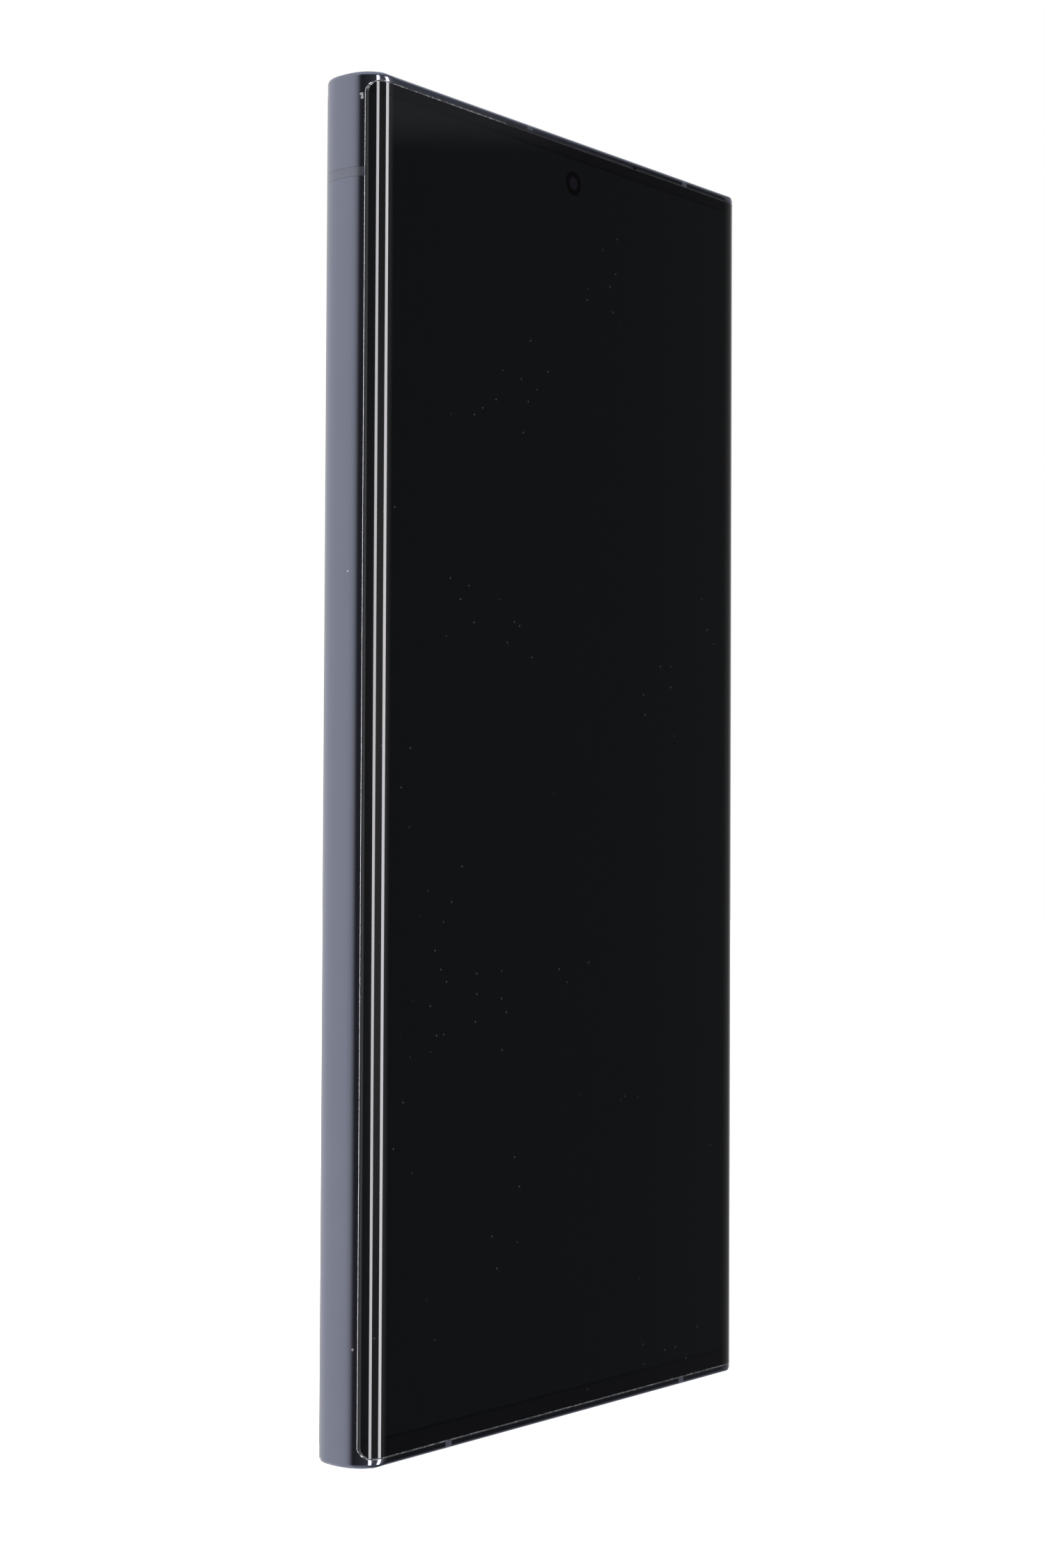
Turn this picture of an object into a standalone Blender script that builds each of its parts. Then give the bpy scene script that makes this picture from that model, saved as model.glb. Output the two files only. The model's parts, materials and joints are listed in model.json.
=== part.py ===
"""A large slab smartphone with a curved-edge cover glass and a built-in stylus, as separate parts.

World frame, metres: +X to the right as the screen is seen, +Y out of the back, +Z up along the
phone's length. The origin is the middle of the bottom face of the whole phone's box.

Every part hangs from one empty whose own axes are the body's: x from the centre line, y the depth
behind the front plane, and z the height above the bottom face. All centres below are given there.
"""

import math

import bmesh
import bpy
from mathutils import Matrix, Vector

MM = 0.001

# The outside of the phone.
BODY_WIDTH = 77.9 * MM
BODY_HEIGHT = 163.3 * MM
BODY_DEPTH = 8.9 * MM
SIDE_ROUND = 4.74 * MM  # how far in from the side the long edges start to curve
SIDE_POWER = 2.5  # exponent of the superellipse that the long edges follow; 2 would be an ellipse
END_ROUND = 0.55 * MM  # rounding of the top and bottom edges
CORNER_RADIUS = 0.6 * MM
CORNER_STEPS = 3
KEY_PROUD = 0.45 * MM
RING_PROUD = 1.3 * MM

HALF_WIDTH = BODY_WIDTH / 2
MID_DEPTH = BODY_DEPTH / 2
MID_HEIGHT = BODY_HEIGHT / 2

# Fits.
SEAM = 0.1 * MM  # visible gap round each outer part
FIT = 0.2 * MM  # gap between parts that rest on each other inside
OVERCUT = 2.0 * MM  # how far a cutter runs past the surface that it opens

# The two glasses.
GLASS_SIDE_INSET = 0.84 * MM
GLASS_END_INSET = 1.0 * MM
GLASS_CORNER = 1.3 * MM
GLASS_GAP = 0.16 * MM  # from the frame's rim to the glass's edge
GLASS_THICKNESS = 0.7 * MM
GLASS_EDGE_HEIGHT = 0.8 * MM
GLASS_STEPS = 5
SHEET_COLUMN = 0.85 * MM  # spacing of the cross sections where a sheet curves

# The frame's walls, plate and inside.
PLATE_FRONT = 2.0 * MM
PLATE_BACK = 2.6 * MM
CAVITY_HALF_WIDTH = 37.2 * MM
CAVITY_BOTTOM = 1.7 * MM
CAVITY_TOP = BODY_HEIGHT - 1.7 * MM
CAVITY_CORNER = 1.5 * MM
DISPLAY_POCKET_HALF_WIDTH = 36.6 * MM
DISPLAY_POCKET_END = 2.2 * MM

# Rear cameras: the centre of each ring, its outer radius, and its module's half sizes in x and z.
RING_COLUMN_X = 26.05 * MM
SECOND_COLUMN_X = 9.4 * MM
LARGE_RING = 7.2 * MM
MEDIUM_RING = 5.6 * MM
RING_WIDTH = 1.6 * MM
RING_STEPS = 24
RING_SEAT_DEPTH = 0.9 * MM  # from a ring's rim down to the ledge under its window
RING_LEDGE = 0.8 * MM
RING_FLANGE = 0.5 * MM  # how far a ring's foot reaches under the rear glass
RING_CHAMFER = 0.3 * MM
LENS_WINDOW_THICKNESS = 0.5 * MM
LENS_WINDOW_GAP = 0.1 * MM
REAR_CAMERAS = {
    "ultra_wide": (RING_COLUMN_X, 147.8 * MM, LARGE_RING, 5.2 * MM, 5.2 * MM),
    "main": (RING_COLUMN_X, 130.2 * MM, LARGE_RING, 6.4 * MM, 6.4 * MM),
    "long_zoom": (RING_COLUMN_X, 112.6 * MM, LARGE_RING, 6.2 * MM, 5.6 * MM),
    "short_zoom": (SECOND_COLUMN_X, 124.4 * MM, MEDIUM_RING, 4.4 * MM, 4.4 * MM),
}
FLASH_HEIGHT = 139.0 * MM
AUTOFOCUS_HEIGHT = 149.4 * MM
FLASH_RADIUS = 3.0 * MM
AUTOFOCUS_RADIUS = 3.3 * MM

# Front camera and earpiece.
FRONT_CAMERA_HEIGHT = BODY_HEIGHT - 5.7 * MM
FRONT_CAMERA_HOLE = 1.5 * MM
FRONT_CAMERA_BORE = 2.6 * MM  # through the mid-plate
EARPIECE_HALF_WIDTH = 13.7 * MM
EARPIECE_SLIT = 0.4 * MM  # half of it widens the gap above the glass

# Side keys.
POWER_KEY_HEIGHT = 93.0 * MM
POWER_KEY_LENGTH = 11.2 * MM
VOLUME_KEY_HEIGHT = 116.5 * MM
VOLUME_KEY_LENGTH = 23.0 * MM
KEY_WIDTH = 2.0 * MM
KEY_FLANGE_OUTER = CAVITY_HALF_WIDTH - 0.35 * MM
KEY_FLANGE_INNER = CAVITY_HALF_WIDTH - 0.75 * MM

# Bottom edge.
USB_OUTER = (8.94 * MM, 3.2 * MM)
USB_INNER = (8.34 * MM, 2.56 * MM)
USB_LENGTH = 8.2 * MM
SIM_X = 16.6 * MM
SIM_FACE = (12.6 * MM, 2.4 * MM)
SPEAKER_FIRST_X = -21.0 * MM
SPEAKER_PITCH = 2.1 * MM
SPEAKER_HOLES = 6
SPEAKER_HOLE_RADIUS = 0.6 * MM
MICROPHONE_RADIUS = 0.5 * MM
BOTTOM_MICROPHONE_X = 7.4 * MM
TOP_MICROPHONE_X = 14.0 * MM

# Stylus, stored upright with its clicker in the bottom edge.
STYLUS_X = -32.0 * MM
STYLUS_DEPTH = 4.6 * MM
STYLUS_WIDE = 5.6 * MM
STYLUS_THICK = 4.3 * MM
STYLUS_ROUND = 1.9 * MM
CLICKER_STEM = 0.3 * MM  # how much smaller than the barrel the clicker's stem is, on each side
CLICKER_HEAD = 0.9 * MM
CLICKER_GAP = 1.5 * MM
CLICKER_STEM_LENGTH = 4.0 * MM
BARREL_BOTTOM = CLICKER_HEAD + CLICKER_GAP
BARREL_SHOULDER = 94.0 * MM
BARREL_TOP = 103.2 * MM
NIB_TOP = 105.2 * MM
NIB_RADIUS = 0.42 * MM
NIB_ROOT = 2.6 * MM  # how far the nib reaches into the barrel
NIB_BORE_RADIUS = 0.55 * MM
NIB_BORE_DEPTH = 3.0 * MM
STYLUS_BUTTON_HEIGHT = 74.0 * MM
STYLUS_BUTTON_LENGTH = 10.6 * MM
STYLUS_BUTTON_WIDTH = 2.2 * MM
SILO_GAP = 0.12 * MM
SILO_WALL = 0.3 * MM
SILO_TOP = 106.6 * MM

# Electronics bay.
BATTERY_BOTTOM = 19.6 * MM
BATTERY_TOP = 103.4 * MM
BATTERY_FRONT = 3.3 * MM
BATTERY_BACK = 7.35 * MM
BATTERY_LEFT = -27.0 * MM
BATTERY_RIGHT = 34.6 * MM
BOARD_FRONT = 4.3 * MM
BOARD_BACK = 5.1 * MM
SUB_BOARD_FRONT = 6.3 * MM
SUB_BOARD_BACK = 6.8 * MM
COVER_FRONT = 6.95 * MM
COVER_BACK = 7.45 * MM

# The main board's outline, as x and height of its corners going round.
BOARD_OUTLINE = [
    (-36.4 * MM, 109.0 * MM),
    (-27.8 * MM, 109.0 * MM),
    (-27.8 * MM, 104.6 * MM),
    (4.0 * MM, 104.6 * MM),
    (4.0 * MM, 129.6 * MM),
    (19.0 * MM, 129.6 * MM),
    (19.0 * MM, 160.8 * MM),
    (12.6 * MM, 160.8 * MM),
    (12.6 * MM, 152.6 * MM),
    (-4.2 * MM, 152.6 * MM),
    (-4.2 * MM, 160.8 * MM),
    (-36.4 * MM, 160.8 * MM),
]

# The wireless charging coil.
COIL_RADIUS = 22.0 * MM
COIL_EYE_RADIUS = 10.0 * MM
COIL_THICKNESS = 0.35 * MM
COIL_CENTRE = (2.0 * MM, 7.72 * MM, 62.0 * MM)

# Two opposite corners of each plain inner block or opening, in millimetres: x, depth and height.
INNER_BLOCKS = {
    "display_flex": ((-12.0, 2.75, 9.2), (-6.5, 2.9, 18.6)),
    "display_flex_riser": ((-12.0, 1.95, 18.3), (-6.5, 2.9, 18.6)),
    "display_flex_slot": ((-13.0, 1.5, 17.9), (-5.5, 3.0, 19.0)),
    "haptic_motor": ((24.4, 2.9, 3.2), (33.2, 6.1, 17.8)),
    "processor_shield": ((-25.0, 3.35, 108.0), (1.0, 4.15, 134.0)),
    "radio_shield": ((-31.0, 5.25, 116.0), (-7.0, 6.75, 150.0)),
    "earpiece_speaker": ((4.6, 2.9, 153.2), (12.0, 6.4, 160.9)),
    "heat_spreader": ((-22.0, 2.75, 62.0), (1.0, 3.1, 148.0)),
    "fingerprint_sensor": ((-5.0, 1.4, 34.0), (5.0, 1.6, 43.0)),
    "board_link_flex": ((-26.2, 7.5, 16.4), (-20.8, 7.65, 112.0)),
}

# Screws: x, height, and the cover that each one holds.
SCREW_RADIUS = 0.6 * MM
SCREW_HEAD_RADIUS = 1.1 * MM
BOSS_RADIUS = 1.5 * MM
BOSS_BACK = COVER_FRONT - 0.1 * MM
SCREWS = {
    "screw_upper_left": (-34.2 * MM, 112.6 * MM),
    "screw_upper_corner": (-34.2 * MM, 157.8 * MM),
    "screw_upper_middle": (16.6 * MM, 157.8 * MM),
    "screw_lower_left": (-25.2 * MM, 14.5 * MM),
    "screw_lower_middle": (7.5 * MM, 14.5 * MM),
    "screw_lower_right": (34.9 * MM, 9.0 * MM),
}

# Plastic inserts that split the frame into antennas.
ANTENNA_WIDTH = 1.3 * MM
ANTENNA_SIDE_HEIGHT = BODY_HEIGHT - 11.9 * MM
ANTENNA_RIGHT_X = 24.7 * MM
ANTENNA_BOTTOM_LEFT_X = -23.5 * MM
ANTENNA_TOP_LEFT_X = -9.0 * MM


# Scene set-up.


def clear_scene():
    for old in list(bpy.data.objects):
        bpy.data.objects.remove(old, do_unlink=True)


def add_collection(name):
    collection = bpy.data.collections.new(name)
    bpy.context.scene.collection.children.link(collection)
    return collection


clear_scene()
PARTS = add_collection("smartphone")
CUTTERS = add_collection("cutters")
BODY_AXES = bpy.data.objects.new("body_axes", None)
PARTS.objects.link(BODY_AXES)
BODY_AXES.location = (-KEY_PROUD / 2, -(BODY_DEPTH + RING_PROUD) / 2, 0.0)


def make_material(name, colour, roughness, metallic=0.0):
    material = bpy.data.materials.new(name)
    material.use_nodes = True
    shader = material.node_tree.nodes["Principled BSDF"]
    shader.inputs["Base Color"].default_value = (*colour, 1.0)
    shader.inputs["Roughness"].default_value = roughness
    shader.inputs["Metallic"].default_value = metallic
    return material


FRAME_METAL = make_material("frame_aluminium", (0.09, 0.10, 0.13), 0.15, 1.0)
COVER_GLASS = make_material("cover_glass", (0.004, 0.004, 0.005), 0.03)
REAR_GLASS = make_material("rear_glass", (0.03, 0.032, 0.037), 0.35)
LENS_GLASS = make_material("lens_glass", (0.01, 0.01, 0.014), 0.02)
PANEL_BLACK = make_material("display_panel", (0.01, 0.01, 0.012), 0.2)
COPPER = make_material("copper_sheet", (0.72, 0.35, 0.2), 0.3, 1.0)
SHIELD_STEEL = make_material("shield_steel", (0.6, 0.6, 0.58), 0.3, 1.0)
BOARD_GREEN = make_material("circuit_board", (0.02, 0.07, 0.05), 0.5)
FLEX_AMBER = make_material("flex_circuit", (0.35, 0.16, 0.03), 0.45)
BATTERY_WRAP = make_material("battery_wrap", (0.04, 0.04, 0.045), 0.6)
BLACK_PLASTIC = make_material("black_plastic", (0.02, 0.02, 0.022), 0.5)
STYLUS_PLASTIC = make_material("stylus_plastic", (0.022, 0.022, 0.025), 0.55)
RUBBER = make_material("seal_rubber", (0.03, 0.03, 0.03), 0.8)
INSERT_PLASTIC = make_material("antenna_plastic", (0.07, 0.075, 0.09), 0.4)
DIFFUSER = make_material("flash_diffuser", (0.85, 0.82, 0.7), 0.25)


# Modelling tools.


def add_object(name, mesh, centre, material=None, parent=None):
    """A part at its centre on the body axes, or on its parent's when it has one."""
    part = bpy.data.objects.new(name, mesh)
    PARTS.objects.link(part)
    part.parent = parent or BODY_AXES
    part.location = centre
    if material:
        mesh.materials.append(material)
    return part


def as_cutter(part):
    PARTS.objects.unlink(part)
    CUTTERS.objects.link(part)
    part.hide_render = True
    part.display_type = "WIRE"
    return part


def mesh_from(bm, name):
    bmesh.ops.recalc_face_normals(bm, faces=bm.faces)
    mesh = bpy.data.meshes.new(name)
    bm.to_mesh(mesh)
    bm.free()
    return mesh


def shade_round(mesh):
    mesh.shade_smooth()
    mesh.set_sharp_from_angle(angle=math.radians(35))


def block(name, size, centre, material=None, radius=0.0, axis="Y", steps=3, parent=None):
    """A box of the given size. The four edges that run along one axis can be rounded."""
    bm = bmesh.new()
    bmesh.ops.create_cube(bm, size=1.0)
    bmesh.ops.scale(bm, vec=size, verts=bm.verts)
    if radius:
        along = Vector([float(letter == axis) for letter in "XYZ"])
        edges = [
            edge
            for edge in bm.edges
            if abs((edge.verts[1].co - edge.verts[0].co).normalized().dot(along)) > 0.9
        ]
        bmesh.ops.bevel(bm, geom=edges, offset=radius, segments=steps, profile=0.5, affect="EDGES")
    mesh = mesh_from(bm, name)
    if radius:
        shade_round(mesh)
    return add_object(name, mesh, centre, material, parent)


def inner_corners(name):
    """The two corners of an inner block, in metres."""
    return [Vector(corner) * MM for corner in INNER_BLOCKS[name]]


def span_block(name, low, high, material=None, radius=0.0, axis="Y", steps=3, parent=None):
    """A box given by its lowest and highest corners."""
    low = Vector(low)
    high = Vector(high)
    return block(name, high - low, (low + high) / 2, material, radius, axis, steps, parent)


def cylinder(name, radius, length, centre, material=None, axis="Y", segments=16):
    bm = bmesh.new()
    bmesh.ops.create_cone(
        bm, cap_ends=True, segments=segments, radius1=radius, radius2=radius, depth=length
    )
    if axis != "Z":
        turn = Matrix.Rotation(math.radians(90), 4, "X" if axis == "Y" else "Y")
        bmesh.ops.transform(bm, matrix=turn, verts=bm.verts)
    mesh = mesh_from(bm, name)
    shade_round(mesh)
    return add_object(name, mesh, centre, material)


def turned(name, profile, centre, material):
    """A profile of (radius, depth behind the centre), swept round an axis that runs front to back."""
    mesh = bpy.data.meshes.new(name)
    points = [(radius, 0.0, -depth) for radius, depth in profile]
    edges = [(index, (index + 1) % len(points)) for index in range(len(points))]
    mesh.from_pydata(points, edges, [])
    part = add_object(name, mesh, centre, material)
    part.rotation_euler = (math.radians(90), 0.0, 0.0)
    screw = part.modifiers.new("turn", "SCREW")
    screw.axis = "Z"
    screw.steps = RING_STEPS
    screw.render_steps = RING_STEPS
    screw.use_merge_vertices = True
    screw.merge_threshold = 0.00002
    screw.use_smooth_shade = True
    return part


def boolean(part, other, operation):
    modifier = part.modifiers.new(f"{operation.lower()} {other.name}", "BOOLEAN")
    modifier.operation = operation
    modifier.object = other
    modifier.solver = "EXACT"


def cut(part, *cutters):
    for cutter in cutters:
        boolean(part, cutter, "DIFFERENCE")


def join(part, *others):
    for other in others:
        boolean(part, as_cutter(other), "UNION")


def flat_outline(name, corners, front, back, material):
    """A plate with straight sides, from its corners in x and height, between two depths."""
    curve = bpy.data.curves.new(name, "CURVE")
    curve.dimensions = "2D"
    curve.fill_mode = "BOTH"
    curve.extrude = (back - front) / 2
    spline = curve.splines.new("POLY")
    spline.points.add(len(corners) - 1)
    for point, (x, height) in zip(spline.points, corners):
        point.co = (x, height, 0.0, 1.0)
    spline.use_cyclic_u = True
    source = bpy.data.objects.new(name, curve)
    PARTS.objects.link(source)
    graph = bpy.context.evaluated_depsgraph_get()
    mesh = bpy.data.meshes.new_from_object(source.evaluated_get(graph))
    bm = bmesh.new()
    bm.from_mesh(mesh)
    bmesh.ops.remove_doubles(bm, verts=bm.verts, dist=0.00001)
    bmesh.ops.transform(bm, matrix=Matrix.Rotation(math.radians(90), 4, "X"), verts=bm.verts)
    bm.to_mesh(mesh)
    bm.free()
    bpy.data.objects.remove(source)
    return add_object(name, mesh, (0.0, (front + back) / 2, 0.0), material)


# The shape of the outside.


def side_depth(x, inward=0.0):
    """Depth of the curved long side behind the front plane, at x, for a surface set inward."""
    run = max(0.0, abs(x) - (HALF_WIDTH - SIDE_ROUND))
    reach = SIDE_ROUND - inward
    rise = MID_DEPTH - inward
    share = min(1.0, run / reach)
    return MID_DEPTH - rise * (1.0 - share**SIDE_POWER) ** (1.0 / SIDE_POWER)


def side_inset(depth):
    """How far the long side lies inside the full width, at a depth from the front plane."""
    share = abs(depth - MID_DEPTH) / MID_DEPTH
    return SIDE_ROUND * (1.0 - (1.0 - min(1.0, share**SIDE_POWER)) ** (1.0 / SIDE_POWER))


def end_inset(depth):
    """How far the top and bottom faces lie inside the full height, at a depth."""
    near_face = min(depth, BODY_DEPTH - depth)
    rise = max(0.0, END_ROUND - near_face)
    return END_ROUND - math.sqrt(END_ROUND**2 - rise**2)


def corner_arc(half_x, half_z, radius, steps):
    """A rounded rectangle's points, anticlockwise."""
    points = []
    for quarter in range(4):
        sign_x = 1 if quarter in (0, 3) else -1
        sign_z = 1 if quarter in (0, 1) else -1
        for step in range(steps + 1):
            angle = math.radians(90) * (quarter + step / steps)
            x = sign_x * (half_x - radius) + radius * math.cos(angle)
            z = sign_z * (half_z - radius) + radius * math.sin(angle)
            points.append((x, z))
    return points


def loft(name, rings):
    """A closed solid through rings of points that all have the same count."""
    bm = bmesh.new()
    rows = [[bm.verts.new(point) for point in ring] for ring in rings]
    for first, second in zip(rows, rows[1:]):
        for index in range(len(first)):
            after = (index + 1) % len(first)
            bm.faces.new((first[index], first[after], second[after], second[index]))
    bm.faces.new(rows[0])
    bm.faces.new(rows[-1])
    return mesh_from(bm, name)


def outer_body(name):
    """The whole phone's outside as one solid, on the body axes."""
    front_half = [0.0, 0.06, 0.2, 0.42, 0.85, 1.5, 2.4, 3.4]
    depths = [step * MM for step in front_half]
    depths += [MID_DEPTH] + [BODY_DEPTH - depth for depth in reversed(depths)]
    rings = []
    for depth in depths:
        half_x = HALF_WIDTH - side_inset(depth)
        half_z = MID_HEIGHT - end_inset(depth)
        outline = corner_arc(half_x, half_z, CORNER_RADIUS, CORNER_STEPS)
        rings.append([(x, depth, MID_HEIGHT + z) for x, z in outline])
    mesh = loft(name, rings)
    shade_round(mesh)
    return mesh


def curved_sheet(name, half_x, half_z, corner, front, back, rear=False):
    """A sheet that wraps over both long sides: rectangles lofted across the phone's width.

    front and back give its two depths at x; rear turns it over onto the back of the phone.
    """
    round_start = HALF_WIDTH - SIDE_ROUND
    columns = [round_start + step * SHEET_COLUMN for step in range(GLASS_STEPS)]
    columns = [x for x in columns if x < half_x - corner - SEAM or x == round_start]
    for step in range(GLASS_STEPS + 1):
        angle = math.radians(90) * step / GLASS_STEPS
        columns.append(half_x - corner + corner * math.sin(angle))
    columns.sort()
    rings = []
    for x in [-x for x in reversed(columns)] + columns:
        into_corner = max(0.0, abs(x) - (half_x - corner))
        drop = corner - math.sqrt(max(0.0, corner**2 - into_corner**2))
        top = MID_HEIGHT + half_z - drop
        bottom = MID_HEIGHT - half_z + drop
        near = BODY_DEPTH - front(x) if rear else front(x)
        far = BODY_DEPTH - back(x) if rear else back(x)
        rings.append([(x, near, top), (x, near, bottom), (x, far, bottom), (x, far, top)])
    mesh = loft(name, rings)
    shade_round(mesh)
    return mesh


def glass_underside(x):
    return min(side_depth(x, GLASS_THICKNESS), side_depth(x) + GLASS_EDGE_HEIGHT)


# Glass, display and frame.


def glass(name, material, rear=False):
    mesh = curved_sheet(
        name,
        HALF_WIDTH - GLASS_SIDE_INSET - GLASS_GAP,
        MID_HEIGHT - GLASS_END_INSET - GLASS_GAP,
        GLASS_CORNER,
        side_depth,
        glass_underside,
        rear,
    )
    return add_object(name, mesh, (0.0, 0.0, 0.0), material)


def glass_pocket(name, rear=False):
    mesh = curved_sheet(
        name,
        HALF_WIDTH - GLASS_SIDE_INSET,
        MID_HEIGHT - GLASS_END_INSET,
        GLASS_CORNER + GLASS_GAP,
        lambda x: -OVERCUT,
        lambda x: glass_underside(x) + SEAM,
        rear,
    )
    return as_cutter(add_object(name, mesh, (0.0, 0.0, 0.0)))


def display_stack():
    hole = as_cutter(
        cylinder(
            "front_camera_window",
            FRONT_CAMERA_HOLE,
            PLATE_BACK + OVERCUT,
            (0.0, PLATE_BACK / 2, FRONT_CAMERA_HEIGHT),
        )
    )
    panel_half_x = DISPLAY_POCKET_HALF_WIDTH - FIT
    panel_mesh = curved_sheet(
        "display_panel",
        panel_half_x,
        MID_HEIGHT - DISPLAY_POCKET_END - FIT,
        2.5 * MM,
        lambda x: glass_underside(x) + SEAM,
        lambda x: glass_underside(x) + SEAM + 0.5 * MM,
    )
    panel = add_object("display_panel", panel_mesh, (0.0, 0.0, 0.0), PANEL_BLACK)
    sheet = span_block(
        "stylus_digitiser",
        (-35.0 * MM, 1.72 * MM, 4.0 * MM),
        (35.0 * MM, 1.87 * MM, BODY_HEIGHT - 4.0 * MM),
        COPPER,
        radius=2.0 * MM,
    )
    for part in (panel, sheet):
        cut(part, hole)
    return hole


def display_flex():
    """The ribbon that folds from the panel's lower end through the plate to the lower board."""
    flex = span_block(
        "display_flex",
        *inner_corners("display_flex"),
        FLEX_AMBER,
    )
    riser = span_block(
        "display_flex_riser",
        *inner_corners("display_flex_riser"),
    )
    join(flex, riser)


def frame_openings():
    """Cutters for everything that goes through the frame's walls and plate."""
    openings = [
        span_block(
            "silo_slot",
            (STYLUS_X - 3.5 * MM, 1.5 * MM, CAVITY_BOTTOM - SEAM),
            (STYLUS_X + 3.5 * MM, 3.0 * MM, SILO_TOP + 0.5 * MM),
        ),
        block(
            "stylus_mouth",
            (STYLUS_WIDE + 2 * SILO_GAP, STYLUS_THICK + 2 * SILO_GAP, 2 * OVERCUT),
            (STYLUS_X, STYLUS_DEPTH, 0.0),
            radius=STYLUS_ROUND + SILO_GAP,
            axis="Z",
            steps=4,
        ),
        block(
            "usb_mouth",
            (USB_OUTER[0] + 2 * SEAM, USB_OUTER[1] + 2 * SEAM, 2 * OVERCUT),
            (0.0, MID_DEPTH, 0.0),
            radius=0.49 * USB_OUTER[1],
            axis="Z",
            steps=6,
        ),
        block(
            "sim_mouth",
            (SIM_FACE[0] + 2 * SEAM, SIM_FACE[1] + 2 * SEAM, 2 * OVERCUT),
            (SIM_X, MID_DEPTH, 0.0),
            radius=1.15 * MM,
            axis="Z",
            steps=4,
        ),
        span_block(
            "display_flex_slot",
            *inner_corners("display_flex_slot"),
        ),
        cylinder(
            "front_camera_bore",
            FRONT_CAMERA_BORE,
            2 * OVERCUT,
            (0.0, PLATE_FRONT, FRONT_CAMERA_HEIGHT),
            segments=20,
        ),
    ]
    for name, x, height in (
        ("bottom_microphone_hole", BOTTOM_MICROPHONE_X, 0.0),
        ("top_microphone_hole", TOP_MICROPHONE_X, BODY_HEIGHT),
    ):
        centre = (x, MID_DEPTH, height)
        openings.append(cylinder(name, MICROPHONE_RADIUS, 2 * OVERCUT, centre, axis="Z", segments=10))
    for index in range(SPEAKER_HOLES):
        openings.append(
            cylinder(
                f"speaker_hole_{index + 1}",
                SPEAKER_HOLE_RADIUS,
                2 * OVERCUT,
                (SPEAKER_FIRST_X + index * SPEAKER_PITCH, MID_DEPTH, 0.0),
                axis="Z",
                segments=10,
            )
        )
    for name, height, length in (
        ("power_key_slot", POWER_KEY_HEIGHT, POWER_KEY_LENGTH),
        ("volume_key_slot", VOLUME_KEY_HEIGHT, VOLUME_KEY_LENGTH),
    ):
        openings.append(
            block(
                name,
                (2 * OVERCUT, KEY_WIDTH + 2 * SEAM, length + 2 * SEAM),
                (HALF_WIDTH, MID_DEPTH, height),
                radius=0.98 * MM,
                axis="X",
                steps=4,
            )
        )
    return [as_cutter(opening) for opening in openings]


def antenna_places():
    """Each insert's name, the middle of its slot, and the slot's full size."""
    wall = 1.75 * MM
    reach = 2 * OVERCUT
    tall = BODY_DEPTH + reach
    bottom = wall - reach / 2
    top = BODY_HEIGHT - bottom
    side = HALF_WIDTH - bottom
    across = (ANTENNA_WIDTH, tall, reach)
    upright = (reach, tall, ANTENNA_WIDTH)
    return {
        "antenna_insert_left": ((-side, MID_DEPTH, ANTENNA_SIDE_HEIGHT), upright),
        "antenna_insert_right": ((side, MID_DEPTH, ANTENNA_SIDE_HEIGHT), upright),
        "antenna_insert_top_left": ((ANTENNA_TOP_LEFT_X, MID_DEPTH, top), across),
        "antenna_insert_top_right": ((ANTENNA_RIGHT_X, MID_DEPTH, top), across),
        "antenna_insert_bottom_left": ((ANTENNA_BOTTOM_LEFT_X, MID_DEPTH, bottom), across),
        "antenna_insert_bottom_right": ((ANTENNA_RIGHT_X, MID_DEPTH, bottom), across),
    }


def build_frame():
    """The metal band and plate in one, and the plastic inserts that fill its slots."""
    hollows = [
        glass_pocket("front_glass_pocket"),
        glass_pocket("rear_glass_pocket", rear=True),
        as_cutter(
            span_block(
                "display_pocket",
                (-DISPLAY_POCKET_HALF_WIDTH, -OVERCUT, DISPLAY_POCKET_END),
                (DISPLAY_POCKET_HALF_WIDTH, PLATE_FRONT, BODY_HEIGHT - DISPLAY_POCKET_END),
                radius=2.0 * MM,
            )
        ),
        as_cutter(
            span_block(
                "main_cavity",
                (-CAVITY_HALF_WIDTH, PLATE_BACK, CAVITY_BOTTOM),
                (CAVITY_HALF_WIDTH, BODY_DEPTH + OVERCUT, CAVITY_TOP),
                radius=CAVITY_CORNER,
            )
        ),
        as_cutter(
            block(
                "earpiece_slit",
                (2 * EARPIECE_HALF_WIDTH, 2 * OVERCUT, EARPIECE_SLIT),
                (0.0, 0.0, BODY_HEIGHT - GLASS_END_INSET),
            )
        ),
    ]
    frame = add_object("frame", outer_body("frame"), (0.0, 0.0, 0.0), FRAME_METAL)
    cut(frame, *hollows)
    for name, (x, height) in SCREWS.items():
        length = BOSS_BACK - PLATE_BACK + 0.2 * MM
        centre = (x, BOSS_BACK - length / 2, height)
        join(frame, cylinder(f"{name}_boss", BOSS_RADIUS, length, centre, segments=14))
    cut(frame, *frame_openings())
    for name, (x, height) in SCREWS.items():
        centre = (x, BOSS_BACK, height)
        bore = cylinder(f"{name}_bore", SCREW_RADIUS + SEAM, 6.0 * MM, centre, segments=10)
        cut(frame, as_cutter(bore))
    for name, (centre, size) in antenna_places().items():
        cut(frame, as_cutter(block(f"{name}_slot", size, centre)))
        outward = Vector((size[0] > size[2], 0, size[2] > size[0]))
        outward *= math.copysign(SEAM, outward.dot(Vector(centre) - Vector((0, 0, MID_HEIGHT))))
        narrower = [extent - 2 * SEAM * (extent == ANTENNA_WIDTH) for extent in size]
        window = as_cutter(block(f"{name}_window", narrower, Vector(centre) + outward))
        insert = add_object(name, outer_body(name), (0.0, 0.0, 0.0), INSERT_PLASTIC)
        cut(insert, *hollows)
        boolean(insert, window, "INTERSECT")


# Back of the phone.


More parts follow.
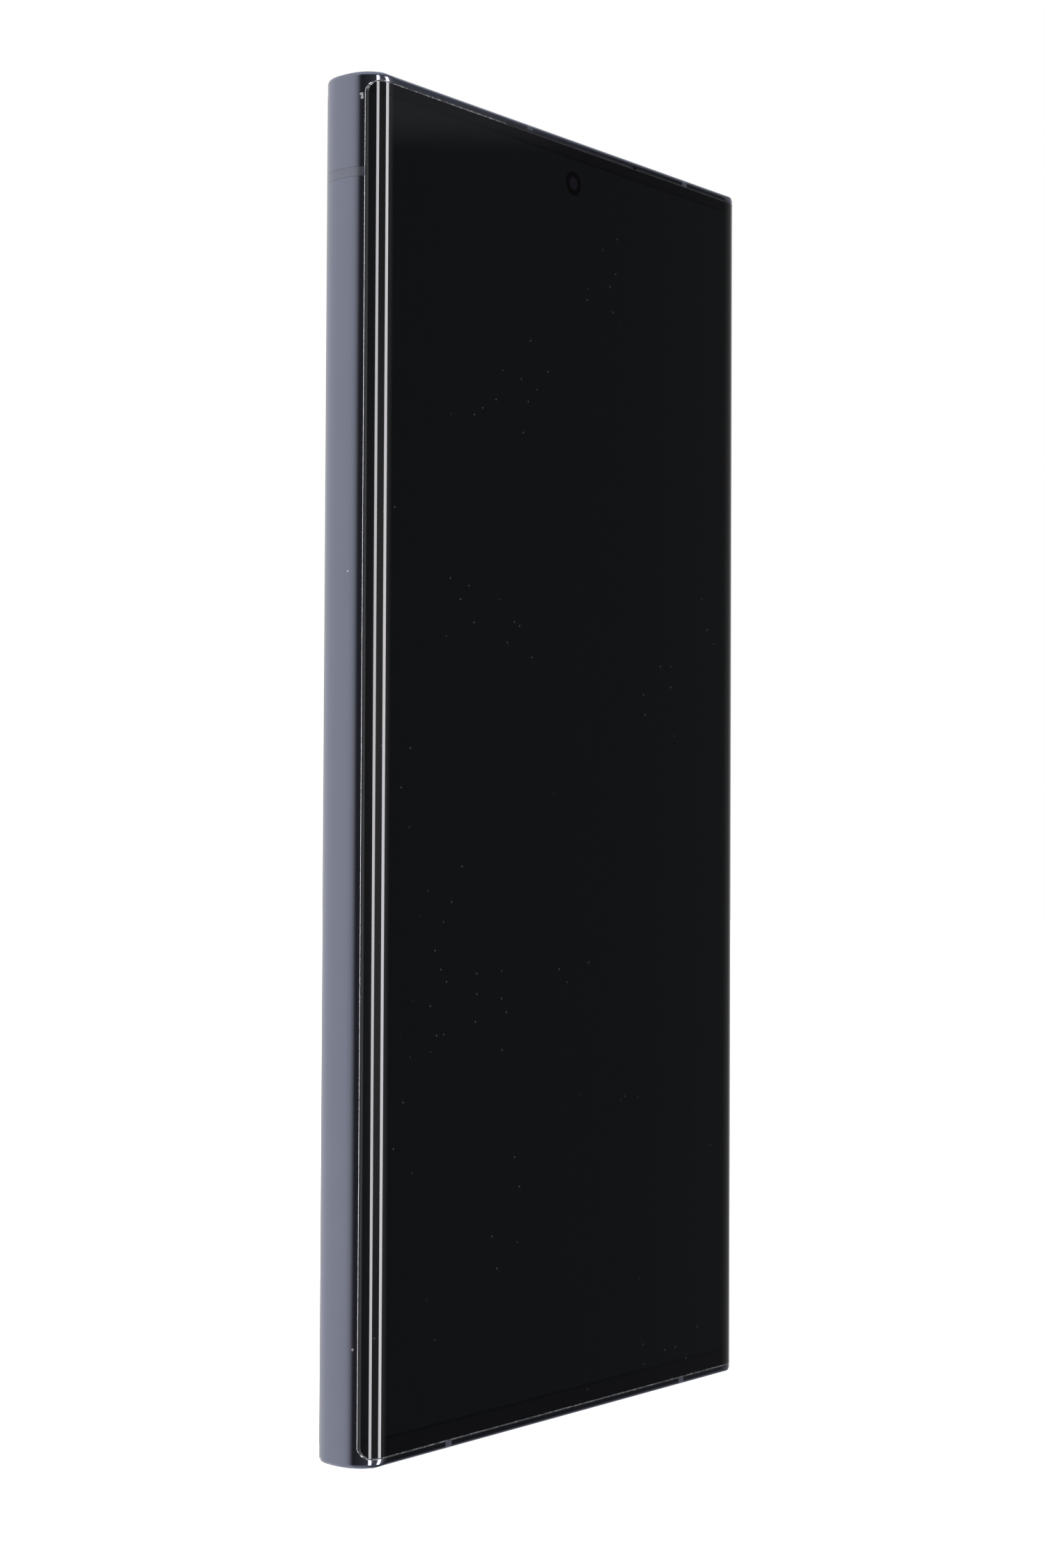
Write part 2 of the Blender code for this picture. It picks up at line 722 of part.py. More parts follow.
def build_back():
    rear = glass("rear_glass", REAR_GLASS, rear=True)
    for label, (x, height, radius, half_x, half_z) in REAR_CAMERAS.items():
        centre = (x, BODY_DEPTH, height)
        hole = cylinder(f"{label}_ring_hole", radius + SEAM, 2 * OVERCUT, centre, segments=RING_STEPS)
        cut(rear, as_cutter(hole))
        build_camera(label, x, height, radius, half_x, half_z)
    for name, height, radius, material in (
        ("flash_window", FLASH_HEIGHT, FLASH_RADIUS, DIFFUSER),
        ("autofocus_window", AUTOFOCUS_HEIGHT, AUTOFOCUS_RADIUS, LENS_GLASS),
    ):
        centre = (SECOND_COLUMN_X, BODY_DEPTH, height)
        hole = cylinder(f"{name}_hole", radius + SEAM, 2 * OVERCUT, centre, segments=20)
        cut(rear, as_cutter(hole))
        length = 1.2 * MM
        centre = (SECOND_COLUMN_X, BODY_DEPTH - length / 2, height)
        cylinder(name, radius, length, centre, material, segments=20)


def build_camera(label, x, height, radius, half_x, half_z):
    """One rear camera: the ring that stands proud, its window, and the module behind them."""
    flange_back = BODY_DEPTH - GLASS_THICKNESS - SEAM
    flange_front = COVER_BACK + SEAM
    proud = BODY_DEPTH + RING_PROUD
    seat = proud - RING_SEAT_DEPTH
    inner = radius - RING_WIDTH
    throat = inner - RING_LEDGE
    profile = [
        (radius + RING_FLANGE, flange_front),
        (radius + RING_FLANGE, flange_back),
        (radius, flange_back),
        (radius, proud - RING_CHAMFER),
        (radius - RING_CHAMFER, proud),
        (inner, proud),
        (inner, seat),
        (throat, seat),
        (throat, flange_front),
    ]
    turned(f"camera_ring_{label}", profile, (x, 0.0, height), FRAME_METAL)
    window_centre = (x, seat + LENS_WINDOW_GAP + LENS_WINDOW_THICKNESS / 2, height)
    cylinder(
        f"camera_window_{label}",
        inner - SEAM,
        LENS_WINDOW_THICKNESS,
        window_centre,
        LENS_GLASS,
        segments=20,
    )
    module_front = 2.9 * MM
    module_back = COVER_FRONT - 0.15 * MM
    left = x - half_x
    if label == "long_zoom":
        left = 12.4 * MM
    module = span_block(
        f"camera_module_{label}",
        (left, module_front, height - half_z),
        (x + half_x, module_back, height + half_z),
        BLACK_PLASTIC,
    )
    barrel_length = seat - 0.2 * MM - module_back + 0.5 * MM
    barrel_centre = (x, seat - 0.2 * MM - barrel_length / 2, height)
    barrel = cylinder(f"{label}_barrel", throat - FIT, barrel_length, barrel_centre, segments=20)
    join(module, barrel)


# Keys.


def build_key(name, height, length):
    """A pill-shaped key in the right side, with a flange behind the wall that keeps it in."""
    inner = KEY_FLANGE_OUTER - 0.1 * MM
    outer = HALF_WIDTH + KEY_PROUD
    axis_x = HALF_WIDTH
    key = block(
        name,
        (outer - inner, KEY_WIDTH, length),
        (axis_x, MID_DEPTH, height),
        FRAME_METAL,
        radius=0.94 * MM,
        axis="X",
        steps=4,
    )
    key.data.transform(Matrix.Translation(((outer + inner) / 2 - axis_x, 0.0, 0.0)))
    flange = span_block(
        f"{name}_flange",
        (KEY_FLANGE_INNER, MID_DEPTH - 1.4 * MM, height - length / 2 - 0.8 * MM),
        (KEY_FLANGE_OUTER, MID_DEPTH + 1.4 * MM, height + length / 2 + 0.8 * MM),
    )
    join(key, flange)


def build_keys():
    build_key("power_key", POWER_KEY_HEIGHT, POWER_KEY_LENGTH)
    build_key("volume_key", VOLUME_KEY_HEIGHT, VOLUME_KEY_LENGTH)
    strip_inner = 35.5 * MM
    strip_outer = strip_inner + 0.35 * MM
    flex = span_block(
        "side_key_flex",
        (strip_inner, MID_DEPTH - 1.1 * MM, POWER_KEY_HEIGHT - 5.0 * MM),
        (strip_outer, MID_DEPTH + 1.1 * MM, VOLUME_KEY_HEIGHT + 11.0 * MM),
        FLEX_AMBER,
    )
    for name, height in (
        ("power_switch", POWER_KEY_HEIGHT),
        ("volume_down_switch", VOLUME_KEY_HEIGHT - 8.0 * MM),
        ("volume_up_switch", VOLUME_KEY_HEIGHT + 8.0 * MM),
    ):
        switch_centre = (strip_outer + 0.1 * MM, MID_DEPTH, height)
        join(flex, cylinder(name, 0.9 * MM, 0.3 * MM, switch_centre, axis="X", segments=12))


# Bottom edge: port, card tray, loudspeaker and vibration motor.


def build_port():
    shell_bottom = 0.5 * MM
    centre = (0.0, MID_DEPTH, shell_bottom + USB_LENGTH / 2)
    shell = block(
        "usb_shell",
        (*USB_OUTER, USB_LENGTH),
        centre,
        SHIELD_STEEL,
        radius=0.49 * USB_OUTER[1],
        axis="Z",
        steps=6,
    )
    bore = block(
        "usb_bore",
        (*USB_INNER, USB_LENGTH),
        (0.0, MID_DEPTH, shell_bottom + USB_LENGTH / 2 - 0.5 * MM),
        radius=0.49 * USB_INNER[1],
        axis="Z",
        steps=6,
    )
    cut(shell, as_cutter(bore))
    span_block(
        "usb_tongue",
        (-3.35 * MM, MID_DEPTH - 0.35 * MM, shell_bottom + 0.9 * MM),
        (3.35 * MM, MID_DEPTH + 0.35 * MM, shell_bottom + USB_LENGTH - 0.6 * MM),
        BLACK_PLASTIC,
        radius=0.3 * MM,
        axis="Y",
    )


def build_card_tray():
    face_thickness = 1.0 * MM
    neck_top = 2.4 * MM
    body_top = 17.2 * MM
    tray = block(
        "sim_tray",
        (*SIM_FACE, face_thickness),
        (SIM_X, MID_DEPTH, face_thickness / 2),
        FRAME_METAL,
        radius=1.1 * MM,
        axis="Z",
        steps=4,
    )
    neck = span_block(
        "sim_tray_neck",
        (SIM_X - 5.5 * MM, MID_DEPTH - 0.7 * MM, 0.5 * MM),
        (SIM_X + 5.5 * MM, MID_DEPTH + 0.7 * MM, neck_top),
    )
    carrier = span_block(
        "sim_tray_carrier",
        (SIM_X - 5.2 * MM, MID_DEPTH - 0.6 * MM, neck_top - 0.5 * MM),
        (SIM_X + 5.2 * MM, MID_DEPTH + 0.6 * MM, body_top),
    )
    card_window = span_block(
        "card_window",
        (SIM_X - 4.4 * MM, MID_DEPTH - OVERCUT, 3.6 * MM),
        (SIM_X + 4.4 * MM, MID_DEPTH + OVERCUT, 16.0 * MM),
        radius=0.6 * MM,
    )
    eject_hole = cylinder(
        "eject_hole",
        0.4 * MM,
        2.0 * MM,
        (SIM_X + 4.9 * MM, MID_DEPTH, -0.4 * MM),
        axis="Z",
        segments=10,
    )
    join(tray, neck, carrier)
    cut(tray, as_cutter(card_window), as_cutter(eject_hole))
    seal = block(
        "sim_tray_seal",
        (SIM_FACE[0] - 0.5 * MM, SIM_FACE[1] - 0.5 * MM, 0.6 * MM),
        (SIM_X, MID_DEPTH, 1.5 * MM),
        RUBBER,
        radius=0.8 * MM,
        axis="Z",
        steps=3,
    )
    seal_bore = block(
        "sim_seal_bore",
        (11.0 * MM + 2 * SEAM, 1.4 * MM + 2 * SEAM, 2.0 * MM),
        (SIM_X, MID_DEPTH, 1.5 * MM),
    )
    cut(seal, as_cutter(seal_bore))
    reader = span_block(
        "sim_reader",
        (SIM_X - 6.0 * MM, 3.2 * MM, 3.0 * MM),
        (SIM_X + 6.0 * MM, 5.7 * MM, 18.2 * MM),
        SHIELD_STEEL,
    )
    reader_bore = span_block(
        "sim_reader_bore",
        (SIM_X - 5.6 * MM, 3.6 * MM, 2.0 * MM),
        (SIM_X + 5.6 * MM, 5.3 * MM, 17.6 * MM),
    )
    cut(reader, as_cutter(reader_bore))


def build_lower_bay():
    outlet_low = (SPEAKER_FIRST_X - 1.5 * MM, 3.0 * MM, 2.0 * MM)
    outlet_high = (-6.2 * MM, 6.1 * MM, 8.9 * MM)
    speaker = span_block("loudspeaker", outlet_low, outlet_high, BLACK_PLASTIC, radius=0.8 * MM)
    diaphragm_box = span_block(
        "loudspeaker_box",
        (SPEAKER_FIRST_X - 1.5 * MM, 3.1 * MM, 8.0 * MM),
        (-13.2 * MM, 6.0 * MM, 18.4 * MM),
    )
    join(speaker, diaphragm_box)
    span_block(
        "haptic_motor",
        *inner_corners("haptic_motor"),
        SHIELD_STEEL,
        radius=1.0 * MM,
    )
    board = span_block(
        "lower_board",
        (-26.8 * MM, SUB_BOARD_FRONT, 2.2 * MM),
        (23.4 * MM, SUB_BOARD_BACK, 18.4 * MM),
        BOARD_GREEN,
        radius=0.8 * MM,
    )
    cover = span_block(
        "lower_cover",
        (-27.6 * MM, COVER_FRONT, 2.2 * MM),
        (36.6 * MM, COVER_BACK, 18.8 * MM),
        BLACK_PLASTIC,
        radius=1.0 * MM,
    )
    for name in ("screw_lower_left", "screw_lower_middle", "screw_lower_right"):
        if name != "screw_lower_right":
            board_hole(board, name, (SUB_BOARD_FRONT + SUB_BOARD_BACK) / 2)
        screw_hole(cover, name)


def board_hole(board, name, depth):
    """Clears a board round the boss that a screw goes into."""
    x, height = SCREWS[name]
    hole = cylinder(f"{name}_board_hole", BOSS_RADIUS + FIT, 2.0 * MM, (x, depth, height), segments=14)
    cut(board, as_cutter(hole))


def screw_hole(cover, name):
    x, height = SCREWS[name]
    centre = (x, (COVER_FRONT + COVER_BACK) / 2, height)
    hole = cylinder(f"{name}_cover_hole", SCREW_RADIUS + FIT, 2.0 * MM, centre, segments=12)
    cut(cover, as_cutter(hole))


def build_screws():
    """Small pan-head screws through the two covers into the frame's bosses."""
    for name, (x, height) in SCREWS.items():
        head_front = COVER_BACK + 0.05 * MM
        head_back = head_front + 0.45 * MM
        tip = 4.2 * MM
        head_centre = (x, (head_front + head_back) / 2, height)
        head = cylinder(name, SCREW_HEAD_RADIUS, head_back - head_front, head_centre, SHIELD_STEEL)
        shank_length = head_front + 0.2 * MM - tip
        shank_centre = (x, tip + shank_length / 2, height)
        join(head, cylinder(f"{name}_shank", SCREW_RADIUS, shank_length, shank_centre, segments=10))


# Upper bay: main board, shields, covers and speakers.


def build_main_board():
    board = flat_outline("main_board", BOARD_OUTLINE, BOARD_FRONT, BOARD_BACK, BOARD_GREEN)
    for name in ("screw_upper_left", "screw_upper_corner", "screw_upper_middle"):
        board_hole(board, name, (BOARD_FRONT + BOARD_BACK) / 2)
    span_block(
        "processor_shield",
        *inner_corners("processor_shield"),
        SHIELD_STEEL,
        radius=0.8 * MM,
    )
    span_block(
        "radio_shield",
        *inner_corners("radio_shield"),
        SHIELD_STEEL,
        radius=0.8 * MM,
    )


def build_upper_cover():
    cover = span_block(
        "upper_cover",
        (-36.6 * MM, COVER_FRONT, 107.0 * MM),
        (36.2 * MM, COVER_BACK, 160.8 * MM),
        BLACK_PLASTIC,
        radius=1.5 * MM,
    )
    middle = (COVER_FRONT + COVER_BACK) / 2
    for label, (x, height, radius, _half_x, _half_z) in REAR_CAMERAS.items():
        hole_radius = radius - RING_WIDTH - 0.8 * MM
        hole = cylinder(f"{label}_cover_hole", hole_radius, 2.0 * MM, (x, middle, height), segments=20)
        cut(cover, as_cutter(hole))
    for name in ("screw_upper_left", "screw_upper_corner", "screw_upper_middle"):
        screw_hole(cover, name)


def build_top_edge():
    module = block(
        "front_camera_module",
        (6.4 * MM, 3.2 * MM, 6.0 * MM),
        (0.0, 4.6 * MM, FRONT_CAMERA_HEIGHT),
        BLACK_PLASTIC,
        radius=0.5 * MM,
    )
    lens_front = 1.2 * MM
    lens_length = 2.2 * MM
    lens_centre = (0.0, lens_front + lens_length / 2, FRONT_CAMERA_HEIGHT)
    join(module, cylinder("front_lens_barrel", 1.25 * MM, lens_length, lens_centre, segments=14))
    span_block(
        "earpiece_speaker",
        *inner_corners("earpiece_speaker"),
        BLACK_PLASTIC,
        radius=0.8 * MM,
    )


def build_power_and_sensors():
    span_block(
        "battery",
        (BATTERY_LEFT, BATTERY_FRONT, BATTERY_BOTTOM),
        (BATTERY_RIGHT, BATTERY_BACK, BATTERY_TOP),
        BATTERY_WRAP,
        radius=1.2 * MM,
        axis="Z",
    )
    span_block(
        "heat_spreader",
        *inner_corners("heat_spreader"),
        COPPER,
        radius=3.0 * MM,
    )
    coil = cylinder(
        "charging_coil",
        COIL_RADIUS,
        COIL_THICKNESS,
        COIL_CENTRE,
        COPPER,
        segments=32,
    )
    eye = cylinder("charging_coil_eye", COIL_EYE_RADIUS, OVERCUT, COIL_CENTRE, segments=24)
    cut(coil, as_cutter(eye))
    span_block(
        "fingerprint_sensor",
        *inner_corners("fingerprint_sensor"),
        PANEL_BLACK,
    )
    span_block(
        "board_link_flex",
        *inner_corners("board_link_flex"),
        FLEX_AMBER,
    )


# Stylus.


def build_stylus():
    """Barrel and nib, which slide out together, with the clicker and side button that they carry."""
    barrel = block(
        "stylus_barrel",
        (STYLUS_WIDE, STYLUS_THICK, BARREL_SHOULDER - BARREL_BOTTOM),
        (STYLUS_X, STYLUS_DEPTH, 0.0),
        STYLUS_PLASTIC,
        radius=STYLUS_ROUND,
        axis="Z",
        steps=4,
    )
    barrel.data.transform(Matrix.Translation((0.0, 0.0, (BARREL_SHOULDER + BARREL_BOTTOM) / 2)))
    taper_cone(barrel)
    stem_size = (STYLUS_WIDE - 2 * CLICKER_STEM, STYLUS_THICK - 2 * CLICKER_STEM)
    bore = block(
        "clicker_bore",
        (stem_size[0] + 2 * SEAM, stem_size[1] + 2 * SEAM, 2 * (CLICKER_STEM_LENGTH + 1.0 * MM)),
        (STYLUS_X, STYLUS_DEPTH, BARREL_BOTTOM),
        radius=STYLUS_ROUND - CLICKER_STEM + SEAM,
        axis="Z",
        steps=4,
    )
    button_back = STYLUS_DEPTH + STYLUS_THICK / 2
    button_pocket = block(
        "stylus_button_pocket",
        (STYLUS_BUTTON_WIDTH + 2 * SEAM, 1.5 * MM, STYLUS_BUTTON_LENGTH + 2 * SEAM),
        (STYLUS_X, button_back, STYLUS_BUTTON_HEIGHT),
        radius=1.0 * MM,
    )
    nib_bore = cylinder(
        "nib_bore",
        NIB_BORE_RADIUS,
        2 * NIB_BORE_DEPTH,
        (STYLUS_X, STYLUS_DEPTH, BARREL_TOP),
        axis="Z",
        segments=12,
    )
    cut(barrel, as_cutter(bore), as_cutter(button_pocket), as_cutter(nib_bore))
    cylinder(
        "stylus_nib",
        NIB_RADIUS,
        NIB_TOP - BARREL_TOP + NIB_ROOT,
        (STYLUS_X, STYLUS_DEPTH, (NIB_TOP + BARREL_TOP - NIB_ROOT) / 2),
        RUBBER,
        axis="Z",
        segments=12,
    )
    clicker = block(
        "stylus_clicker",
        (STYLUS_WIDE, STYLUS_THICK, CLICKER_HEAD),
        (0.0, 0.0, CLICKER_HEAD / 2),
        STYLUS_PLASTIC,
        radius=STYLUS_ROUND,
        axis="Z",
        steps=4,
        parent=barrel,
    )
    stem = block(
        "clicker_stem",
        (*stem_size, CLICKER_STEM_LENGTH),
        (STYLUS_X, STYLUS_DEPTH, CLICKER_HEAD / 2 + CLICKER_STEM_LENGTH / 2),
        radius=STYLUS_ROUND - CLICKER_STEM,
        axis="Z",
        steps=4,
    )
    join(clicker, stem)
    block(
        "stylus_button",
        (STYLUS_BUTTON_WIDTH, 0.45 * MM, STYLUS_BUTTON_LENGTH),
        (0.0, STYLUS_THICK / 2 - 0.02 * MM - 0.225 * MM, STYLUS_BUTTON_HEIGHT),
        STYLUS_PLASTIC,
        radius=0.95 * MM,
        parent=barrel,
    )


def taper_cone(barrel):
    """Draws the barrel's upper face out into the nib cone, in two steps."""
    bm = bmesh.new()
    bm.from_mesh(barrel.data)
    for height, share in (((BARREL_SHOULDER + BARREL_TOP) / 2, 0.78), (BARREL_TOP, 0.5)):
        top = max(bm.faces, key=lambda face: face.calc_center_median().z)
        grown = bmesh.ops.extrude_discrete_faces(bm, faces=[top])["faces"][0]
        for vert in grown.verts:
            vert.co = (vert.co.x * share, vert.co.y * share, height)
    bmesh.ops.recalc_face_normals(bm, faces=bm.faces)
    bm.to_mesh(barrel.data)
    bm.free()


def build_silo():
    """The sleeve that the stylus slides in, closed at its upper end."""
    gap = 2 * SILO_GAP
    wall = 2 * (SILO_GAP + SILO_WALL)
    bottom = CAVITY_BOTTOM + SEAM
    silo = block(
        "stylus_silo",
        (STYLUS_WIDE + wall, STYLUS_THICK + wall, SILO_TOP - bottom),
        (STYLUS_X, STYLUS_DEPTH, (SILO_TOP + bottom) / 2),
        BLACK_PLASTIC,
        radius=STYLUS_ROUND + SILO_GAP + SILO_WALL,
        axis="Z",
        steps=4,
    )
    bore = block(
        "silo_bore",
        (STYLUS_WIDE + gap, STYLUS_THICK + gap, SILO_TOP - bottom),
        (STYLUS_X, STYLUS_DEPTH, (SILO_TOP + bottom) / 2 - 0.6 * MM),
        radius=STYLUS_ROUND + SILO_GAP,
        axis="Z",
        steps=4,
    )
    cut(silo, as_cutter(bore))


build_frame()
glass("front_glass", COVER_GLASS)
display_stack()
display_flex()
build_back()
build_keys()
build_port()
build_card_tray()
build_lower_bay()
build_main_board()
build_upper_cover()
build_top_edge()
build_power_and_sensors()
build_stylus()
build_silo()
build_screws()
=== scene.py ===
import json
import math

import bmesh
import bpy
from mathutils import Matrix, Vector


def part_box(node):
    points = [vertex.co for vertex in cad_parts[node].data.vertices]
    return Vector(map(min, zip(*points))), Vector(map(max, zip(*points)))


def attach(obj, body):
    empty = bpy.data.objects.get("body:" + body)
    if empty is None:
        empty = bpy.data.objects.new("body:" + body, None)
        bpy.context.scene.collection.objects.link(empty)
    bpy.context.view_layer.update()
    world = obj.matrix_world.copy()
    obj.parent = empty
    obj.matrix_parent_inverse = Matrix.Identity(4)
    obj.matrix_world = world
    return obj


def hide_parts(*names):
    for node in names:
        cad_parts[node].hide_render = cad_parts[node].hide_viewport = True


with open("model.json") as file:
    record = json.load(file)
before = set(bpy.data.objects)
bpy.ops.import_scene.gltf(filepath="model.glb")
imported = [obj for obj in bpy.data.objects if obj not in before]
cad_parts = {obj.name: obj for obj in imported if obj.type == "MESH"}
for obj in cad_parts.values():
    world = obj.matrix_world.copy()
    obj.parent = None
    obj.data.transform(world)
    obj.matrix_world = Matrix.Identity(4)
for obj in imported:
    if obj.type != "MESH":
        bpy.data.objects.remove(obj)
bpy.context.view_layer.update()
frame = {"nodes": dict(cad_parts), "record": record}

MM = 0.001
NODES = frame["nodes"]

# The body's place and size come from the frame. Points below are (x from the centre line, depth
# behind the front plane, height), in metres, and at() puts them in the row frame.
BODY_LOW, BODY_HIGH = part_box("frame")
BODY_X = (BODY_LOW.x + BODY_HIGH.x) / 2
HALF_WIDTH = (BODY_HIGH.x - BODY_LOW.x) / 2
THICKNESS = BODY_HIGH.y - BODY_LOW.y
HEIGHT = BODY_HIGH.z - BODY_LOW.z
MID_DEPTH = THICKNESS / 2
MID_HEIGHT = HEIGHT / 2

# The same outside shape as the CAD frame's: long sides on a superellipse, ends nearly square.
SIDE_ROUND = 4.74 * MM
SIDE_POWER = 2.5
END_ROUND = 0.55 * MM
CORNER_RADIUS = 0.6 * MM
PROFILE_STEPS = 40

# The glasses: where their edges lie, and how their edges are finished.
GLASS_SIDE_INSET = 0.84 * MM
GLASS_END_INSET = 1.0 * MM
GLASS_CORNER = 1.5 * MM
GLASS_THICKNESS = 0.7 * MM
GLASS_EDGE_HEIGHT = 0.8 * MM
SEAM = 0.16 * MM
GLASS_EDGE_ROUND = 0.08 * MM
RIM_ROUND = 0.1 * MM
END_SHARE = 0.5  # the seam, its rim and the glass's edge are this much narrower along the two ends
EARPIECE_HALF = 13.7 * MM
OUTLINE_STEPS = 16
END_STEPS = 12
END_FLAT = 32.4 * MM  # the glasses are flat closer in than this
CURVE_REACH = SIDE_ROUND - GLASS_SIDE_INSET + 0.1 * MM  # from the glass's edge to where it is flat


def at(x, depth, height):
    return Vector((BODY_X + x, BODY_LOW.y + depth, BODY_LOW.z + height))


def local(point):
    """The inverse of at()."""
    return point[0] - BODY_X, point[1] - BODY_LOW.y, point[2] - BODY_LOW.z


# Shape functions.


def side_depth(x, inward=0.0):
    run = max(0.0, abs(x) - (HALF_WIDTH - SIDE_ROUND))
    reach = SIDE_ROUND - inward
    rise = MID_DEPTH - inward
    share = min(1.0, run / reach)
    return MID_DEPTH - rise * (1.0 - share**SIDE_POWER) ** (1.0 / SIDE_POWER)


def side_inset(depth):
    share = min(1.0, abs(depth - MID_DEPTH) / MID_DEPTH)
    return SIDE_ROUND * (1.0 - (1.0 - share**SIDE_POWER) ** (1.0 / SIDE_POWER))


def end_inset(depth):
    near_face = min(depth, THICKNESS - depth)
    rise = max(0.0, END_ROUND - near_face)
    return END_ROUND - math.sqrt(max(0.0, END_ROUND**2 - rise**2))


def slope(function, value, low, high):
    """Rate of change of a shape function, from two close samples inside its range."""
    step = 0.002 * MM
    first = max(low, value - step)
    second = min(high, value + step)
    return (function(second) - function(first)) / (second - first)


def glass_underside(x):
    return min(side_depth(x, GLASS_THICKNESS), side_depth(x) + GLASS_EDGE_HEIGHT)


def rounded_outline(half_a, half_b, radius, steps):
    """A rounded rectangle's points, anticlockwise from its right side."""
    radius = min(radius, half_a, half_b)
    points = []
    for quarter in range(4):
        sign_a = 1 if quarter in (0, 3) else -1
        sign_b = 1 if quarter in (0, 1) else -1
        for step in range(steps + 1):
            angle = math.radians(90) * (quarter + step / steps)
            a = sign_a * (half_a - radius) + radius * math.cos(angle)
            b = sign_b * (half_b - radius) + radius * math.sin(angle)
            points.append((a, b))
    return points


# Mesh tools.


def mesh_from(bm, name):
    bmesh.ops.remove_doubles(bm, verts=bm.verts, dist=0.0000005)
    bmesh.ops.recalc_face_normals(bm, faces=bm.faces)
    mesh = bpy.data.meshes.new(name)
    bm.to_mesh(mesh)
    bm.free()
    return mesh


def add_object(name, data):
    obj = bpy.data.objects.new(name, data)
    bpy.context.scene.collection.objects.link(obj)
    return obj


CAPS = 2  # an open loft's first faces


def loft(name, rings, cyclic=False):
    """A surface through rings with equal counts: capped at both ends, or closed on itself."""
    bm = bmesh.new()
    rows = [[bm.verts.new(point) for point in ring] for ring in rings]
    pairs = list(zip(rows, rows[1:]))
    if cyclic:
        pairs.append((rows[-1], rows[0]))
    else:
        bm.faces.new(rows[0])
        bm.faces.new(rows[-1])
    for first, second in pairs:
        for index in range(len(first)):
            after = (index + 1) % len(first)
            bm.faces.new((first[index], first[after], second[after], second[index]))
    return add_object(name, mesh_from(bm, name))


def shade(obj, angle=32):
    obj.data.shade_smooth()
    obj.data.set_sharp_from_angle(angle=math.radians(angle))
    return obj


def prism(name, half_a, half_b, radius, stations, axis, centre, steps=8):
    """Rounded rectangles lofted along an axis. Each station is (distance along it, inset)."""
    rings = []
    for distance, inset in stations:
        outline = rounded_outline(
            half_a - inset, half_b - inset, max(radius - inset, 0.01 * MM), steps
        )
        ring = []
        for a, b in outline:
            offset = {"X": (distance, a, b), "Y": (a, distance, b), "Z": (a, b, distance)}[axis]
            ring.append(Vector(centre) + Vector(offset))
        rings.append(ring)
    return shade(loft(name, rings))


def edged(low, high, edge, steps=4):
    """Stations for a prism whose two ends are rounded by edge."""
    rounding = []
    for step in range(steps + 1):
        angle = math.radians(90) * step / steps
        rounding.append((edge * (1 - math.cos(angle)), edge * (1 - math.sin(angle))))
    start = [(low + run, inset) for run, inset in rounding]
    return start + [(high - run, inset) for run, inset in reversed(rounding)]


def lathe(name, profile, centre, segments=72, cyclic=True):
    """A profile of (radius, depth) turned round a front-to-back axis through centre."""
    rings = []
    for radius, depth in profile:
        ring = []
        for index in range(segments):
            angle = math.tau * index / segments
            offset = Vector((radius * math.cos(angle), depth, radius * math.sin(angle)))
            ring.append(Vector(centre) + offset)
        rings.append(ring)
    return shade(loft(name, rings, cyclic), 28)


def carve(obj, others, operation="DIFFERENCE"):
    """Applies Booleans and drops the other objects."""
    for other in others:
        modifier = obj.modifiers.new("carve", "BOOLEAN")
        modifier.operation = operation
        modifier.object = other
        modifier.solver = "EXACT"
    graph = bpy.context.evaluated_depsgraph_get()
    mesh = bpy.data.meshes.new_from_object(obj.evaluated_get(graph))
    obj.modifiers.clear()
    obj.data = mesh
    for other in others:
        bpy.data.objects.remove(other)
    return shade(obj)


def follow_surface(obj, *normals_at, tolerance=0.03 * MM):
    """Gives corners on a known smooth surface its exact normal: one function per material slot."""
    mesh = obj.data
    normals = [Vector(corner.vector) for corner in mesh.corner_normals]
    for polygon in mesh.polygons:
        normal_at = normals_at[min(polygon.material_index, len(normals_at) - 1)]
        for loop_index in polygon.loop_indices:
            point = mesh.vertices[mesh.loops[loop_index].vertex_index].co
            exact = normal_at(point, tolerance)
            if exact is not None and exact.dot(polygon.normal) > 0.97:
                normals[loop_index] = exact
    mesh.normals_split_custom_set([tuple(normal) for normal in normals])
    return obj


def body_normal(point, tolerance):
    """The outside's normal at a point near it, or None elsewhere."""
    x, depth, height = local(point)
    z = height - MID_HEIGHT
    depth = min(max(depth, 0.0), THICKNESS)
    if depth < 0.001 * MM or depth > THICKNESS - 0.001 * MM:
        return Vector((0.0, -1.0 if depth < MID_DEPTH else 1.0, 0.0))
    half_x = HALF_WIDTH - side_inset(depth) - CORNER_RADIUS
    half_z = MID_HEIGHT - end_inset(depth) - CORNER_RADIUS
    past_x = max(0.0, abs(x) - half_x)
    past_z = max(0.0, abs(z) - half_z)
    length = math.hypot(past_x, past_z)
    if abs(length - CORNER_RADIUS) > tolerance:
        return None
    side = past_x / length
    end = past_z / length
    rate = side * slope(side_inset, depth, 0.0, THICKNESS) + end * slope(
        end_inset, depth, 0.0, THICKNESS
    )
    return Vector((math.copysign(side, x), rate, math.copysign(end, z))).normalized()


